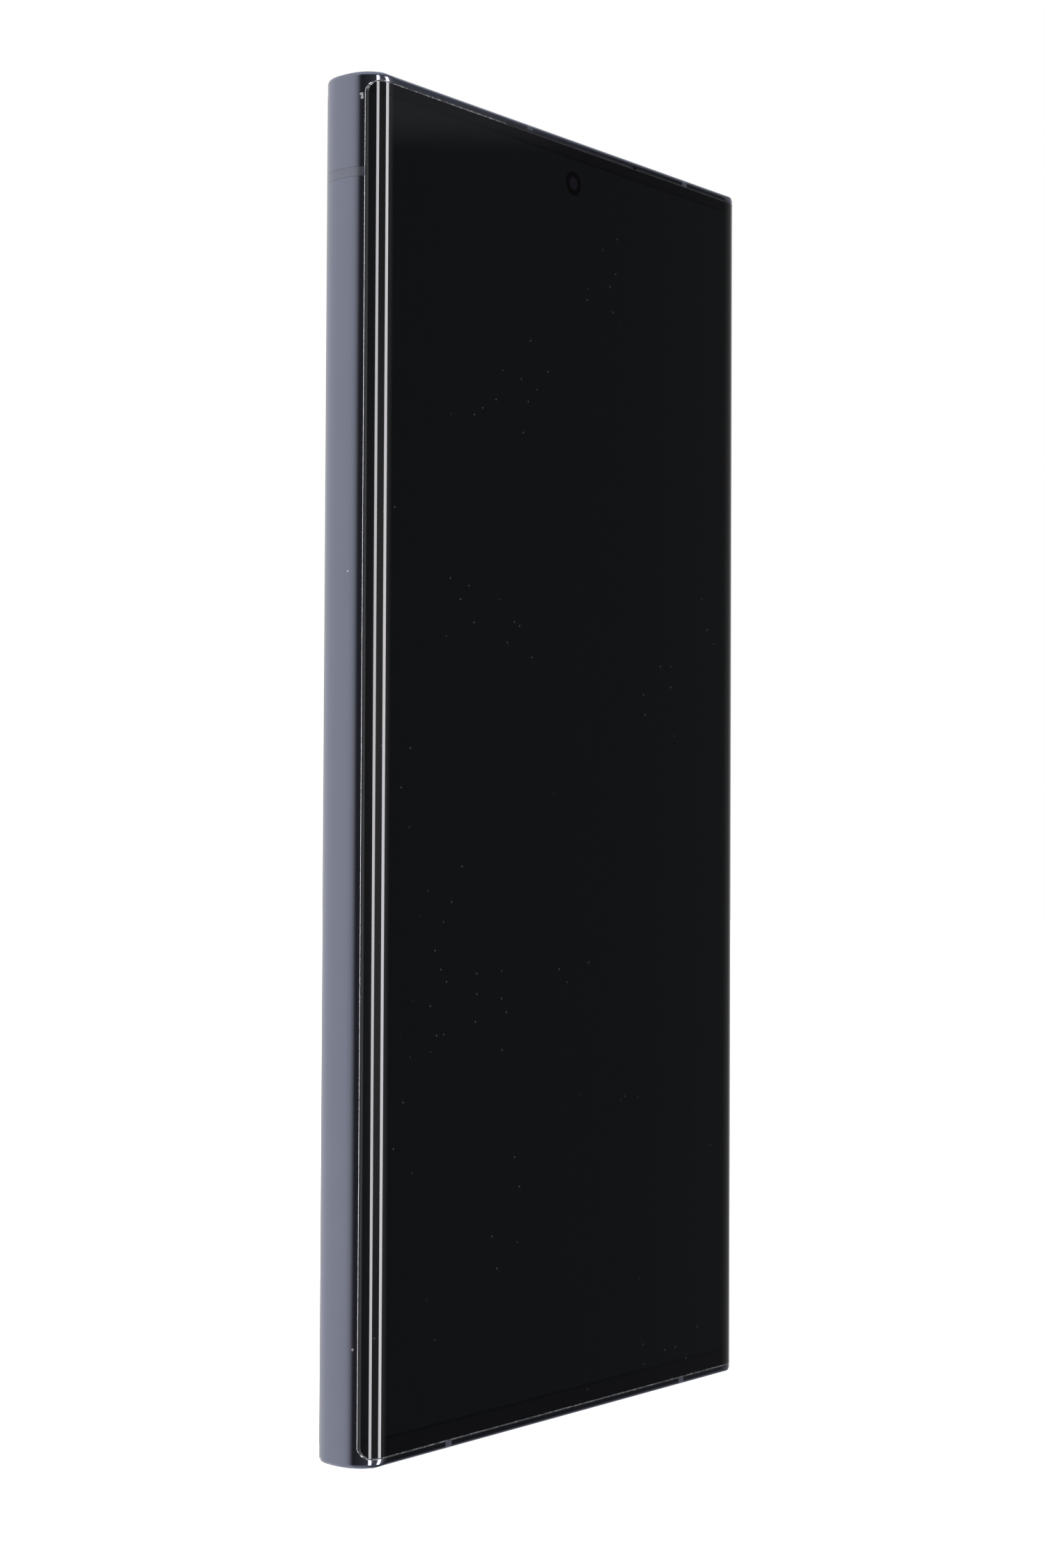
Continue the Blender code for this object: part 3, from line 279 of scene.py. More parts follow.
def rim_normal(point, tolerance):
    """The rounded rim's normal at a point on it, or None elsewhere."""
    x, depth, height = local(point)
    rear = depth > MID_DEPTH
    drop = min(depth, THICKNESS - depth) - side_depth(x)
    if not -tolerance < drop < RIM_ROUND + tolerance:
        return None
    z = height - MID_HEIGHT
    past_x = max(0.0, abs(x) - (HALF_WIDTH - GLASS_SIDE_INSET - GLASS_CORNER))
    past_z = max(0.0, abs(z) - (MID_HEIGHT - GLASS_END_INSET - GLASS_CORNER))
    length = math.hypot(past_x, past_z)
    if length < GLASS_CORNER / 2:
        return None
    outward = Vector((math.copysign(past_x, x), 0.0, math.copysign(past_z, z))) / length
    up = min(1.0, max(0.0, 1.0 - drop / RIM_ROUND))
    lean = slope(side_depth, x, -HALF_WIDTH, HALF_WIDTH)
    share = abs(outward.x) + END_SHARE * abs(outward.z)
    surface_part = Vector((lean, 1.0 if rear else -1.0, 0.0)) * (up * share)
    return (surface_part - outward * math.sqrt(1.0 - up * up)).normalized()


def glass_normal(point, tolerance):
    """The cover glass's outer normal at a point near its surface, or None elsewhere."""
    x, depth, _height = local(point)
    rear = depth > MID_DEPTH
    if rear:
        depth = THICKNESS - depth
    if abs(depth - side_depth(x)) > tolerance:
        return None
    rate = slope(side_depth, x, -HALF_WIDTH, HALF_WIDTH)
    return Vector((rate, 1.0 if rear else -1.0, 0.0)).normalized()


# Outside of the body, its pockets and its openings.


def outer_solid(name):
    power = 2.0 / SIDE_POWER
    depths = []
    for step in range(PROFILE_STEPS + 1):
        angle = math.radians(90) * (1.0 - step / PROFILE_STEPS)
        depths.append(MID_DEPTH * (1.0 - math.sin(angle) ** power))
    depths += [THICKNESS - depth for depth in reversed(depths[:-1])]
    rings = []
    for depth in depths:
        outline = rounded_outline(
            HALF_WIDTH - side_inset(depth), MID_HEIGHT - end_inset(depth), CORNER_RADIUS, 6
        )
        rings.append([at(x, depth, MID_HEIGHT + z) for x, z in outline])
    return shade(loft(name, rings))


def sheet_outline(half_x, half_z, corner):
    """A rounded rectangle with more points where its two ends run through the curved sides."""
    outline = rounded_outline(half_x, half_z, corner, OUTLINE_STEPS)
    quarter = OUTLINE_STEPS + 1
    end_x = half_x - corner
    steps = [END_FLAT + (end_x - END_FLAT) * step / END_STEPS for step in range(END_STEPS)]
    inward = [(x, half_z) for x in reversed(steps)]
    top = inward + [(-x, z) for x, z in reversed(inward)]
    bottom = [(-x, -z) for x, z in top]
    middle = outline[quarter : 3 * quarter]
    return outline[:quarter] + top + middle + bottom + outline[3 * quarter :]


def sheet_ring(outward, depth_at, rear):
    """The glass's outline, set outward, at a depth that varies with x."""
    half_x = HALF_WIDTH - GLASS_SIDE_INSET + outward
    half_z = MID_HEIGHT - GLASS_END_INSET + END_SHARE * outward
    corner = max(GLASS_CORNER + outward, 0.02 * MM)
    ring = []
    for x, z in sheet_outline(half_x, half_z, corner):
        depth = depth_at(x)
        ring.append(at(x, THICKNESS - depth if rear else depth, MID_HEIGHT + z))
    return ring


def glass_pocket(name, rear=False):
    """What is cut from the frame for a glass: its room, which leaves a rounded rim round it."""
    under = 0.1 * MM
    rings = [sheet_ring(0.4 * MM, lambda x: side_depth(x) - 0.4 * MM, rear)]
    for degrees in (15, 30, 45, 60, 75, 90):
        angle = math.radians(degrees)
        outward = RIM_ROUND * (1.0 - math.sin(angle))
        drop = RIM_ROUND * (1.0 - math.cos(angle))
        rings.append(sheet_ring(outward, lambda x: side_depth(x) + drop, rear))
    rings.append(sheet_ring(0.0, lambda x: glass_underside(x) + under, rear))
    for inward in (0.6, 1.2, 1.9, 2.6, 3.3, 3.9):
        rings.append(sheet_ring(-inward * MM, lambda x: glass_underside(x) + under, rear))
    beyond = at(0, THICKNESS + 3 * MM if rear else -3 * MM, 0).y
    return loft(name, [[Vector((p.x, beyond, p.z)) for p in rings[0]]] + rings)


def glass_sheet(name, rear=False):
    rings = []
    for inward in (3.8, 3.1, 2.4, 1.7, 1.0, 0.4):
        rings.append(sheet_ring(-inward * MM - SEAM, glass_underside, rear))
    under_rings = len(rings)
    rings.append(sheet_ring(-SEAM, glass_underside, rear))
    edge_steps = 5
    for step in range(edge_steps + 1):
        angle = math.radians(90) * step / edge_steps
        inward = GLASS_EDGE_ROUND * (1.0 - math.cos(angle))
        drop = GLASS_EDGE_ROUND * (1.0 - math.sin(angle))
        rings.append(sheet_ring(-SEAM - inward, lambda x: side_depth(x) + drop, rear))
    ribs = 30
    for step in range(1, ribs + 1):
        inward = GLASS_EDGE_ROUND + (CURVE_REACH - GLASS_EDGE_ROUND) * (step / ribs)
        rings.append(sheet_ring(-SEAM - inward, side_depth, rear))
    sheet = shade(loft(name, rings), 40)
    sheet.data.materials.append(FINISHES["back_glass" if rear else "cover_glass"])
    sheet.data.materials.append(FINISHES["edge"])
    around = len(sheet_outline(HALF_WIDTH, MID_HEIGHT, GLASS_CORNER))
    first = CAPS + under_rings * around
    last = first + (edge_steps + 1) * around
    for index in range(first, last):
        sheet.data.polygons[index].material_index = 1
    return sheet


# Materials.


class Nodes:
    """A node tree and the shader it ends in. A value is a constant or another node's output."""

    def __init__(self, tree, shader="Principled BSDF"):
        self.tree = tree
        self.shader = tree.nodes[shader]

    def plug(self, socket, value):
        if isinstance(value, bpy.types.NodeSocket):
            self.tree.links.new(value, socket)
        elif socket.type == "RGBA" and len(value) == 3:
            socket.default_value = (*value, 1.0)
        else:
            socket.default_value = value

    def finish(self, **values):
        """Fills the shader's inputs by name, with _ for a space."""
        for key, value in values.items():
            self.plug(self.shader.inputs[key.replace("_", " ")], value)

    def add(self, kind, **values):
        """A new node. Each value is one of its settings or one of its inputs."""
        made = self.tree.nodes.new("ShaderNode" + kind)
        for key, value in values.items():
            if hasattr(made, key):
                setattr(made, key, value)
            else:
                self.plug(made.inputs[key.replace("_", " ")], value)
        return made

    def maths(self, operation, *values):
        made = self.add("Math", operation=operation)
        for socket, value in zip(made.inputs, values):
            self.plug(socket, value)
        return made.outputs[0]

    def absolute(self, value, centre):
        """|value - centre|"""
        return self.maths("ABSOLUTE", self.maths("SUBTRACT", value, centre))

    def distance_to(self, place, centre):
        away = self.add("VectorMath", operation="DISTANCE")
        self.plug(away.inputs[0], place)
        self.plug(away.inputs[1], centre)
        return away.outputs["Value"]

    def position(self, scale=1.0):
        """Object coordinates, which are the row frame's in metres, times a scale."""
        if isinstance(scale, float):
            scale = (scale, scale, scale)
        place = self.add("TexCoord").outputs["Object"]
        return self.add("Mapping", Vector=place, Scale=scale).outputs["Vector"]

    def axes(self, place):
        return self.add("SeparateXYZ", Vector=place).outputs

    def noise(self, scale, detail=2.0, stretch=1.0):
        place = self.position(stretch)
        return self.add("TexNoise", Vector=place, Scale=scale, Detail=detail).outputs["Fac"]

    def remap(self, value, low, high, to_low=0.0, to_high=1.0, kind="LINEAR"):
        mapped = self.add("MapRange", interpolation_type=kind, Value=value, From_Min=low,
                          From_Max=high, To_Min=to_low, To_Max=to_high)
        return mapped.outputs["Result"]

    def mix(self, share, first, second, blend="MIX"):
        mixed = self.add("Mix", data_type="RGBA", blend_type=blend)
        for index, value in ((0, share), (6, first), (7, second)):
            self.plug(mixed.inputs[index], value)
        return mixed.outputs[2]

    def bump(self, height, distance, strength=1.0):
        made = self.add("Bump", Strength=strength, Distance=distance, Height=height)
        self.finish(Normal=made.outputs["Normal"])


def new_material(name):
    material = bpy.data.materials.new(name)
    material.use_nodes = True
    return material, Nodes(material.node_tree)


def surface(name, dark, light, rough_low, rough_high, metallic=0.0, grain=400.0, relief=0.0):
    """A plain finish: colour and roughness that drift over a fine noise, with a slight relief."""
    material, nodes = new_material(name)
    colour = nodes.mix(nodes.noise(grain, 4.0), dark, light)
    rough = nodes.remap(nodes.noise(grain / 6, 3.0), 0.3, 0.7, rough_low, rough_high)
    nodes.finish(Base_Color=colour, Roughness=rough, Metallic=metallic)
    if relief:
        nodes.bump(nodes.noise(grain * 4, 2.0), relief * MM)
    return material


FRAME_DARK = (0.188, 0.198, 0.254)
FRAME_LIGHT = (0.202, 0.212, 0.272)
BARE_METAL = (0.75, 0.75, 0.78)


def frame_metal():
    """Polished anodised aluminium: faint lengthwise drawing marks and worn spots along the edge."""
    material, nodes = new_material("polished_anodised_metal")
    worn = chips(nodes)
    colour = nodes.mix(nodes.noise(90.0, 3.0), FRAME_DARK, FRAME_LIGHT)
    rough = nodes.remap(nodes.noise(500.0, 4.0, (1.0, 1.0, 0.12)), 0.3, 0.7, 0.06, 0.10)
    roughened = nodes.add("Mix", data_type="FLOAT", Factor=worn)
    nodes.plug(roughened.inputs[2], rough)
    nodes.plug(roughened.inputs[3], 0.5)
    colour = nodes.mix(worn, colour, BARE_METAL)
    nodes.finish(Base_Color=colour, Metallic=1.0, Roughness=roughened.outputs[0])
    return material


# Small dents where bare metal shows, as (x, depth, height) and radius in millimetres.
WORN_SPOTS = [
    (-38.40, 1.83, 160.5, 0.22),
    (-38.36, 1.80, 160.1, 0.20),
    (-38.86, 3.16, 104.4, 0.10),
    (-38.48, 1.97, 13.8, 0.13),
    (-37.63, 7.98, 2.0, 0.09),
    (-38.46, 6.96, 0.5, 0.16),
    (-38.93, 5.17, 0.1, 0.22),
]


def chips(nodes):
    """1 inside the worn spots, which have ragged outlines, and 0 elsewhere."""
    ragged = nodes.remap(nodes.noise(9000.0), 0.3, 0.7, -0.08 * MM, 0.08 * MM)
    total = 0.0
    for x, depth, height, radius in WORN_SPOTS:
        away = nodes.distance_to(nodes.position(), at(x * MM, depth * MM, height * MM))
        away = nodes.maths("ADD", away, ragged)
        inside = nodes.remap(away, radius * MM * 0.85, radius * MM, 1.0, 0.0)
        total = nodes.maths("MAXIMUM", total, inside)
    return total


# The display's lit area and the camera hole, printed or seen through the cover glass.
ACTIVE_TOP = HEIGHT - GLASS_END_INSET - 1.5 * MM
ACTIVE_BOTTOM = GLASS_END_INSET + 2.3 * MM
FRONT_CAMERA_HEIGHT = HEIGHT - 5.7 * MM


def cover_glass():
    """Black cover glass: the switched-off panel is a trace lighter than the printed border, and the
    camera hole holds a painted violet lens reflection.
    """
    material, nodes = new_material("cover_glass_black")
    parts = nodes.axes(nodes.position())
    half_z = (ACTIVE_TOP - ACTIVE_BOTTOM) / 2
    along = nodes.absolute(parts["Z"], BODY_LOW.z + (ACTIVE_TOP + ACTIVE_BOTTOM) / 2)
    panel = nodes.remap(along, half_z - 0.02 * MM, half_z + 0.02 * MM, 1.0, 0.0)
    line = nodes.remap(nodes.absolute(along, half_z), 0.12 * MM, 0.2 * MM)
    ink = nodes.mix(panel, (0.0014, 0.0015, 0.0018), (0.0017, 0.0019, 0.0021))
    lined = nodes.mix(line, (0.0009, 0.001, 0.0011), ink)
    face = nodes.add("CombineXYZ", X=parts["X"], Y=parts["Z"]).outputs[0]
    away = nodes.distance_to(face, (BODY_X, BODY_LOW.z + FRONT_CAMERA_HEIGHT, 0.0))
    hole = nodes.remap(away, 1.5 * MM, 1.65 * MM)
    # Painted reflection: the camera's lens is a faint violet glow painted in the middle of the hole,
    # fading out to a dark ring.
    lens_reflection = nodes.remap(away, 0.5 * MM, 1.05 * MM, 1.0, 0.0, kind="SMOOTHSTEP")
    lens = nodes.mix(lens_reflection, (0.0003, 0.0003, 0.0004), (0.0032, 0.0026, 0.0042))
    holed = nodes.mix(hole, lens, lined)
    dust = nodes.add("TexVoronoi", voronoi_dimensions="2D", Scale=230.0, Vector=face)
    speck = nodes.remap(dust.outputs["Distance"], 0.018, 0.032, 1.0, 0.0)
    rare = nodes.remap(nodes.noise(60.0, 1.0), 0.6, 0.64)
    specks = nodes.maths("MULTIPLY", speck, rare)
    rough = nodes.remap(nodes.noise(35.0, 4.0), 0.35, 0.75, 0.02, 0.045)
    colour = nodes.mix(specks, holed, (0.024, 0.024, 0.026))
    nodes.finish(Base_Color=colour, Roughness=rough, IOR=1.5)
    return material


def rear_glass_finish():
    """Etched back glass: soft sheen with a fine sparkle in the roughness."""
    material, nodes = new_material("rear_glass_satin")
    tone = nodes.mix(nodes.noise(25.0, 2.0), (0.028, 0.030, 0.035), (0.034, 0.036, 0.042))
    rough = nodes.remap(nodes.noise(2500.0, 3.0), 0.3, 0.7, 0.26, 0.36)
    nodes.finish(Base_Color=tone, Roughness=rough, IOR=1.5)
    nodes.bump(nodes.noise(9000.0, 2.0), 0.002 * MM, 0.5)
    return material


def clear_glass():
    material, nodes = new_material("lens_window_glass")
    tint = nodes.mix(nodes.noise(80.0), (0.62, 0.63, 0.66), (0.68, 0.69, 0.72))
    nodes.finish(Base_Color=tint, Transmission_Weight=1.0, Roughness=0.0, IOR=1.2)
    return material


def coated_lens():
    """Dark lens elements with a violet to green coating that turns with the angle."""
    material, nodes = new_material("coated_lens")
    facing = nodes.add("LayerWeight", Blend=0.35).outputs["Facing"]
    tint = nodes.mix(facing, (0.012, 0.006, 0.03), (0.006, 0.03, 0.028))
    speckle = nodes.mix(nodes.noise(700.0), (0.9, 0.9, 0.9), (1.0, 1.0, 1.0))
    colour = nodes.mix(1.0, tint, speckle, "MULTIPLY")
    nodes.finish(Base_Color=colour, Roughness=0.02, IOR=1.35, Specular_Tint=(0.62, 0.5, 1.0))
    return material


def woven_mesh():
    """Fine steel gauze: a grid of wires with dark gaps."""
    material, nodes = new_material("speaker_gauze")
    grid = 0.0
    for stretch in ((1.0, 0.0, 0.0), (0.0, 1.0, 1.0)):
        wave = nodes.add("TexWave", Scale=1400.0, Vector=nodes.position(stretch))
        grid = nodes.maths("MAXIMUM", grid, wave.outputs["Fac"])
    wires = nodes.remap(grid, 0.55, 0.8)
    colour = nodes.mix(wires, (0.004, 0.004, 0.004), (0.12, 0.12, 0.13))
    nodes.finish(Base_Color=colour, Roughness=0.45)
    nodes.bump(grid, 0.03 * MM)
    return material


def edge_finish():
    """The glass's ground edge: polished along the sides, and dusty along the two ends."""
    material, nodes = new_material("glass_ground_edge")
    dusty(nodes, (0.016, 0.017, 0.019), (0.6, 0.6, 0.61), 0.08)
    nodes.finish(IOR=1.5)
    return material


def bead_finish():
    """The dark bead between the glass and the rim, where dust has settled along the two ends."""
    material, nodes = new_material("seal_bead")
    dusty(nodes, (0.012, 0.012, 0.013), (0.36, 0.36, 0.36), 0.4)
    return material


def dusty(nodes, clean, dust, smooth):
    """Colour and roughness, dusty along the bottom and along the top as far as the earpiece."""
    parts = nodes.axes(nodes.position())
    middle = BODY_LOW.z + MID_HEIGHT
    along = nodes.absolute(parts["Z"], middle)
    near_end = nodes.remap(along, MID_HEIGHT - 2.4 * MM, MID_HEIGHT - 1.3 * MM)
    crumbs = nodes.remap(nodes.noise(2600.0, 5.0), 0.45, 0.62, 0.12, 1.0)
    ends = nodes.maths("MULTIPLY", near_end, crumbs)
    slit_start = BODY_X - EARPIECE_HALF
    left = nodes.remap(parts["X"], slit_start - 0.1 * MM, slit_start, 1.0, 0.12)
    upper = nodes.remap(parts["Z"], middle, middle + 1 * MM)
    lower_half = nodes.remap(parts["Z"], middle, middle + 1 * MM, 0.5, 0.0)
    settled = nodes.maths("MULTIPLY", ends, nodes.maths("MULTIPLY_ADD", left, upper, lower_half))
    rough = nodes.remap(settled, 0.0, 1.0, smooth, 0.6)
    nodes.finish(Base_Color=nodes.mix(settled, clean, dust), Roughness=rough)


# Plain finishes: the material's name, its dark and light colours, the range of its roughness, how
# metallic it is, its grain and its relief in millimetres. A name that is also a CAD slot's is for
# the CAD nodes with that slot.
PLAIN = {
    "ring": ("camera_ring_metal", (0.10, 0.105, 0.125), (0.12, 0.127, 0.15), 0.12, 0.2, 1.0),
    "black_plastic": ("moulded_black", (0.016, 0.016, 0.018), (0.024, 0.024, 0.026), 0.38, 0.5, 0.0,
                      1500.0, 0.01),
    "baffle": ("lens_baffle", (0.004, 0.004, 0.004), (0.008, 0.008, 0.008), 0.5, 0.6),
    "lens_glass": ("autofocus_glass", (0.006, 0.005, 0.006), (0.012, 0.008, 0.009), 0.02, 0.04),
    "display": ("panel_black", (0.008, 0.008, 0.01), (0.014, 0.014, 0.016), 0.15, 0.25),
    "copper": ("bare_copper", (0.62, 0.28, 0.15), (0.75, 0.38, 0.22), 0.22, 0.36, 1.0, 300.0, 0.01),
    "steel": ("rolled_steel", (0.48, 0.48, 0.47), (0.6, 0.6, 0.585), 0.2, 0.34, 1.0, 600.0, 0.006),
    "circuit_board": ("solder_mask", (0.012, 0.055, 0.04), (0.02, 0.085, 0.06), 0.35, 0.5, 0.0,
                      900.0, 0.02),
    "flex_circuit": ("amber_film", (0.28, 0.12, 0.02), (0.4, 0.2, 0.045), 0.3, 0.45, 0.0, 500.0),
    "battery_wrap": ("battery_foil", (0.03, 0.03, 0.033), (0.05, 0.05, 0.055), 0.45, 0.6, 0.0,
                     250.0, 0.02),
    "stylus_plastic": ("stylus_matte", (0.018, 0.018, 0.021), (0.026, 0.026, 0.029), 0.42, 0.52, 0.0,
                       2000.0, 0.006),
    "rubber": ("seal_rubber", (0.02, 0.02, 0.02), (0.032, 0.032, 0.032), 0.7, 0.85, 0.0, 1800.0, 0.01),
    "antenna_plastic": ("antenna_plastic", (0.172, 0.181, 0.222), (0.184, 0.193, 0.236), 0.13, 0.17,
                        0.88, 1200.0),
    "rim": ("cut_rim_metal", (0.36, 0.36, 0.38), (0.44, 0.44, 0.46), 0.1, 0.16, 1.0, 1500.0),
    "diffuser": ("flash_diffuser", (0.5, 0.45, 0.26), (0.6, 0.56, 0.38), 0.2, 0.3, 0.0, 900.0, 0.02),
    "gold": ("contact_gold", (0.75, 0.52, 0.2), (0.85, 0.62, 0.28), 0.18, 0.28, 1.0),
}
FINISHES = {finish: surface(*row) for finish, row in PLAIN.items()}
FINISHES["diffuser"].node_tree.nodes["Principled BSDF"].inputs["Subsurface Weight"].default_value = 0.2
FINISHES["frame_metal"] = frame_metal()
FINISHES["edge"] = edge_finish()
FINISHES["cover_glass"] = cover_glass()
FINISHES["back_glass"] = rear_glass_finish()
FINISHES["window"] = clear_glass()
FINISHES["lens"] = coated_lens()
FINISHES["gauze"] = woven_mesh()
FINISHES["bead"] = bead_finish()

SLOT_OF = {entry["node"]: entry["material_slot"] for entry in frame["record"]["subparts"]}
BODY_OF = {
    member: body
    for body, members in frame["record"]["behaviour"]["bodies"].items()
    for member in members
}


def dress_frame_nodes():
    """Every CAD node that is kept gets the finish of its slot."""
    for name, slot in SLOT_OF.items():
        mesh = NODES[name].data
        mesh.materials.clear()
        mesh.materials.append(FINISHES[slot])


def finish_piece(obj, finish, stands_for=None, body="root"):
    """Gives a piece its material, and has it ride where the CAD node that it stands for does."""
    if not obj.data.materials:
        obj.data.materials.append(FINISHES[finish])
    if stands_for:
        body = BODY_OF[stands_for]
    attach(obj, body)
    if stands_for:
        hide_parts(stands_for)
    return obj


# Frame.


def centre_of(name):
    low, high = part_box(name)
    return (low + high) / 2


def half_of(name):
    low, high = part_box(name)
    return (high - low) / 2


KEYS = ("power_key", "volume_key")
KEY_FLANGE = 0.8 * MM  # how much further its hidden flange reaches than a key's cap, at each end
MOUTH_GAP = 0.08 * MM
MOUTH_FLARE = 0.12 * MM


def mouth(name, half_a, half_b, radius, axis, centre, outward, reach=3.0 * MM, flare=MOUTH_FLARE):
    """A cutter that goes in at the outer surface with a chamfered rim. outward is 1 or -1."""
    stations = [
        (outward * 1.0 * MM, -1.0 * MM - flare),
        (-outward * flare, 0.0),
        (-outward * reach, 0.0),
    ]
    return prism(name, half_a, half_b, radius, stations, axis, centre)


def bottom_mouths():
    cutters = []
    for name, fitted, gap, radius, flare in (
        ("usb", "usb_shell", MOUTH_GAP, 1.66 * MM, 0.2 * MM),
        ("tray", "sim_tray", MOUTH_GAP, 1.24 * MM, MOUTH_FLARE),
        ("pen", "stylus_barrel", 0.11 * MM, 2.0 * MM, MOUTH_FLARE),
    ):
        centre = centre_of(fitted)
        half = half_of(fitted)
        place = (centre.x, centre.y, BODY_LOW.z)
        cutters.append(mouth(name, half.x + gap, half.y + gap, radius, "Z", place, -1, flare=flare))
    holes = [("microphone", 7.4, 0.0, 0.5 * MM, -1), ("top_microphone", 14.0, HEIGHT, 0.5 * MM, 1)]
    holes += [(f"speaker_{index}", -21.0 + 2.1 * index, 0.0, 0.6 * MM, -1) for index in range(6)]
    for name, x, height, radius, outward in holes:
        place = at(x * MM, MID_DEPTH, height)
        cutters.append(mouth(name, radius, radius, radius, "Z", place, outward))
    return cutters


def key_mouths():
    cutters = []
    for name in KEYS:
        centre = centre_of(name)
        half_z = half_of(name).z - KEY_FLANGE
        place = (BODY_HIGH.x, centre.y, centre.z)
        cutters.append(
            mouth(name, 1.08 * MM, half_z + MOUTH_GAP, 1.05 * MM, "X", place, 1, flare=0.1 * MM)
        )
    return cutters


def box_cutter(name, low, high):
    low = Vector(low)
    high = Vector(high)
    size = high - low
    return prism(name, size.x / 2, size.y / 2, 0.0, [(-size.z / 2, 0), (size.z / 2, 0)], "Z",
                 (low + high) / 2, steps=1)


def rounded_hollow(name, half_x, margin, near, far, radius):
    """A rounded rectangle between two depths, a margin in from the top and bottom."""
    reach = (far - near) / 2
    return prism(name, half_x, MID_HEIGHT - margin, radius, [(-reach, 0), (reach, 0)], "Y",
                 at(0.0, near + reach, MID_HEIGHT), steps=6)


def body_hollows(tag):
    """Cutters for the glasses' pockets, the display's pocket, the bay behind it and the earpiece."""
    slit = HEIGHT - GLASS_END_INSET
    return [
        glass_pocket(f"{tag}_front_pocket"),
        glass_pocket(f"{tag}_rear_pocket", rear=True),
        rounded_hollow(f"{tag}_display", 36.6 * MM, 2.2 * MM, -2 * MM, 2 * MM, 2 * MM),
        rounded_hollow(f"{tag}_bay", 37.2 * MM, 1.7 * MM, 2.6 * MM, 12 * MM, 1.5 * MM),
        box_cutter(f"{tag}_earpiece", at(-EARPIECE_HALF, -1 * MM, slit - 0.15 * MM),
                   at(EARPIECE_HALF, 1.3 * MM, slit + 0.2 * MM)),
    ]


INSERTS = [name for name in NODES if name.startswith("antenna_insert")]
INSERT_GAP = 0.02 * MM


def insert_box(name, grow):
    """The insert's box, run out past the surface, and widened across the slot by grow."""
    low, high = (Vector(corner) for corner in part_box(name))
    centre = (low + high) / 2
    across = 2 if abs(centre.x - BODY_X) > HALF_WIDTH - 3 * MM else 0
    along = 2 - across
    low.y = BODY_LOW.y - 1 * MM
    high.y = BODY_HIGH.y + 1 * MM
    low[across] -= grow
    high[across] += grow
    if centre[along] < (BODY_LOW[along] + BODY_HIGH[along]) / 2:
        low[along] -= 1 * MM
    else:
        high[along] += 1 * MM
    return low, high


def outline_distance(x, height, inset):
    """How far a point lies outside the glasses' pocket when that is set in by inset."""
    corner = GLASS_CORNER - inset
    past_x = abs(x) - (HALF_WIDTH - GLASS_SIDE_INSET - inset - corner)
    past_z = abs(height - MID_HEIGHT) - (MID_HEIGHT - GLASS_END_INSET - END_SHARE * inset - corner)
    inner = min(0.0, max(past_x, past_z))
    return math.hypot(max(0.0, past_x), max(0.0, past_z)) + inner - corner


def on_rim(point):
    """Whether a point lies on the rounded rim round either glass."""
    x, depth, height = local(point)
    depth = min(depth, THICKNESS - depth)
    below = depth - side_depth(x)
    outside = outline_distance(x, height, 0.0)
    return 0.002 * MM < below < RIM_ROUND and -0.005 * MM < outside < 0.72 * RIM_ROUND


# Round the bead: the share of the seam, and how far below the glass's surface in millimetres.
BEAD = ((0.06, 0.6), (0.06, 0.14), (0.3, 0.1), (0.5, 0.09), (0.7, 0.1), (0.94, 0.14), (0.94, 0.6))


def build_beads():
    """The seal that fills the gap round each glass, a little below the surface."""
    for name, rear in (("front_seal_bead", False), ("rear_seal_bead", True)):
        rings = []
        for share, drop in BEAD:
            rings.append(sheet_ring(-share * SEAM, lambda x: side_depth(x) + drop * MM, rear))
        bead = shade(loft(name, rings, cyclic=True), 60)
        if not rear:
            room = box_cutter("earpiece_room", at(-EARPIECE_HALF, -1 * MM, HEIGHT - 3 * MM),
                              at(EARPIECE_HALF, 3 * MM, HEIGHT + 1 * MM))
            carve(bead, [room])
        finish_piece(bead, "bead")


def build_frame():
    shell = outer_solid("frame_band")
    cutters = body_hollows("frame") + bottom_mouths() + key_mouths()
    pen = centre_of("stylus_barrel")
    cutters.append(
        box_cutter("silo_slot", (pen.x - 3.4 * MM, BODY_LOW.y + 1.5 * MM, BODY_LOW.z + 1.6 * MM),
                   (pen.x + 3.4 * MM, BODY_LOW.y + 3.0 * MM, BODY_LOW.z + 107.0 * MM))
    )
    for name in INSERTS:
        cutters.append(box_cutter(f"{name}_slot", *insert_box(name, INSERT_GAP)))
    carve(shell, cutters)
    shell.data.materials.clear()
    shell.data.materials.append(FINISHES["frame_metal"])
    shell.data.materials.append(FINISHES["rim"])
    for polygon in shell.data.polygons:
        polygon.material_index = int(on_rim(polygon.center))
    follow_surface(shell, body_normal, rim_normal)
    finish_piece(shell, "frame_metal", "frame")
    stock = outer_solid("insert_stock")
    carve(stock, body_hollows("insert"))
    for name in INSERTS:
        piece = add_object(f"{name}_fine", stock.data.copy())
        carve(piece, [box_cutter(f"{name}_window", *insert_box(name, 0.0))], "INTERSECT")
        follow_surface(piece, body_normal)
        finish_piece(piece, "antenna_plastic", name)
    bpy.data.objects.remove(stock)


def build_glasses():
    front = glass_sheet("cover_glass_fine")
    follow_surface(front, glass_normal)
    finish_piece(front, "cover_glass", "front_glass")
    rear = glass_sheet("rear_glass_fine", rear=True)
    holes = [(f"camera_ring_{label}", RING_FLANGE) for label in CAMERAS]
    holes += [("flash_window", 0.0), ("autofocus_window", 0.0)]
    carve(rear, [rear_hole(name, half_of(name).x - hidden + 0.06 * MM) for name, hidden in holes])
    follow_surface(rear, glass_normal)
    finish_piece(rear, "back_glass", "rear_glass")


def rear_hole(name, radius):
    centre = centre_of(name)
    place = (centre.x, BODY_HIGH.y, centre.z)
    return mouth(f"{name}_hole", radius, radius, radius, "Y", place, 1, flare=0.08 * MM)


# Rear cameras.

CAMERAS = ("ultra_wide", "main", "long_zoom", "short_zoom")
RING_FLANGE = 0.5 * MM
RING_EDGE = 0.32 * MM
AXIS = 0.001 * MM  # a closed profile starts and ends this far from its axis


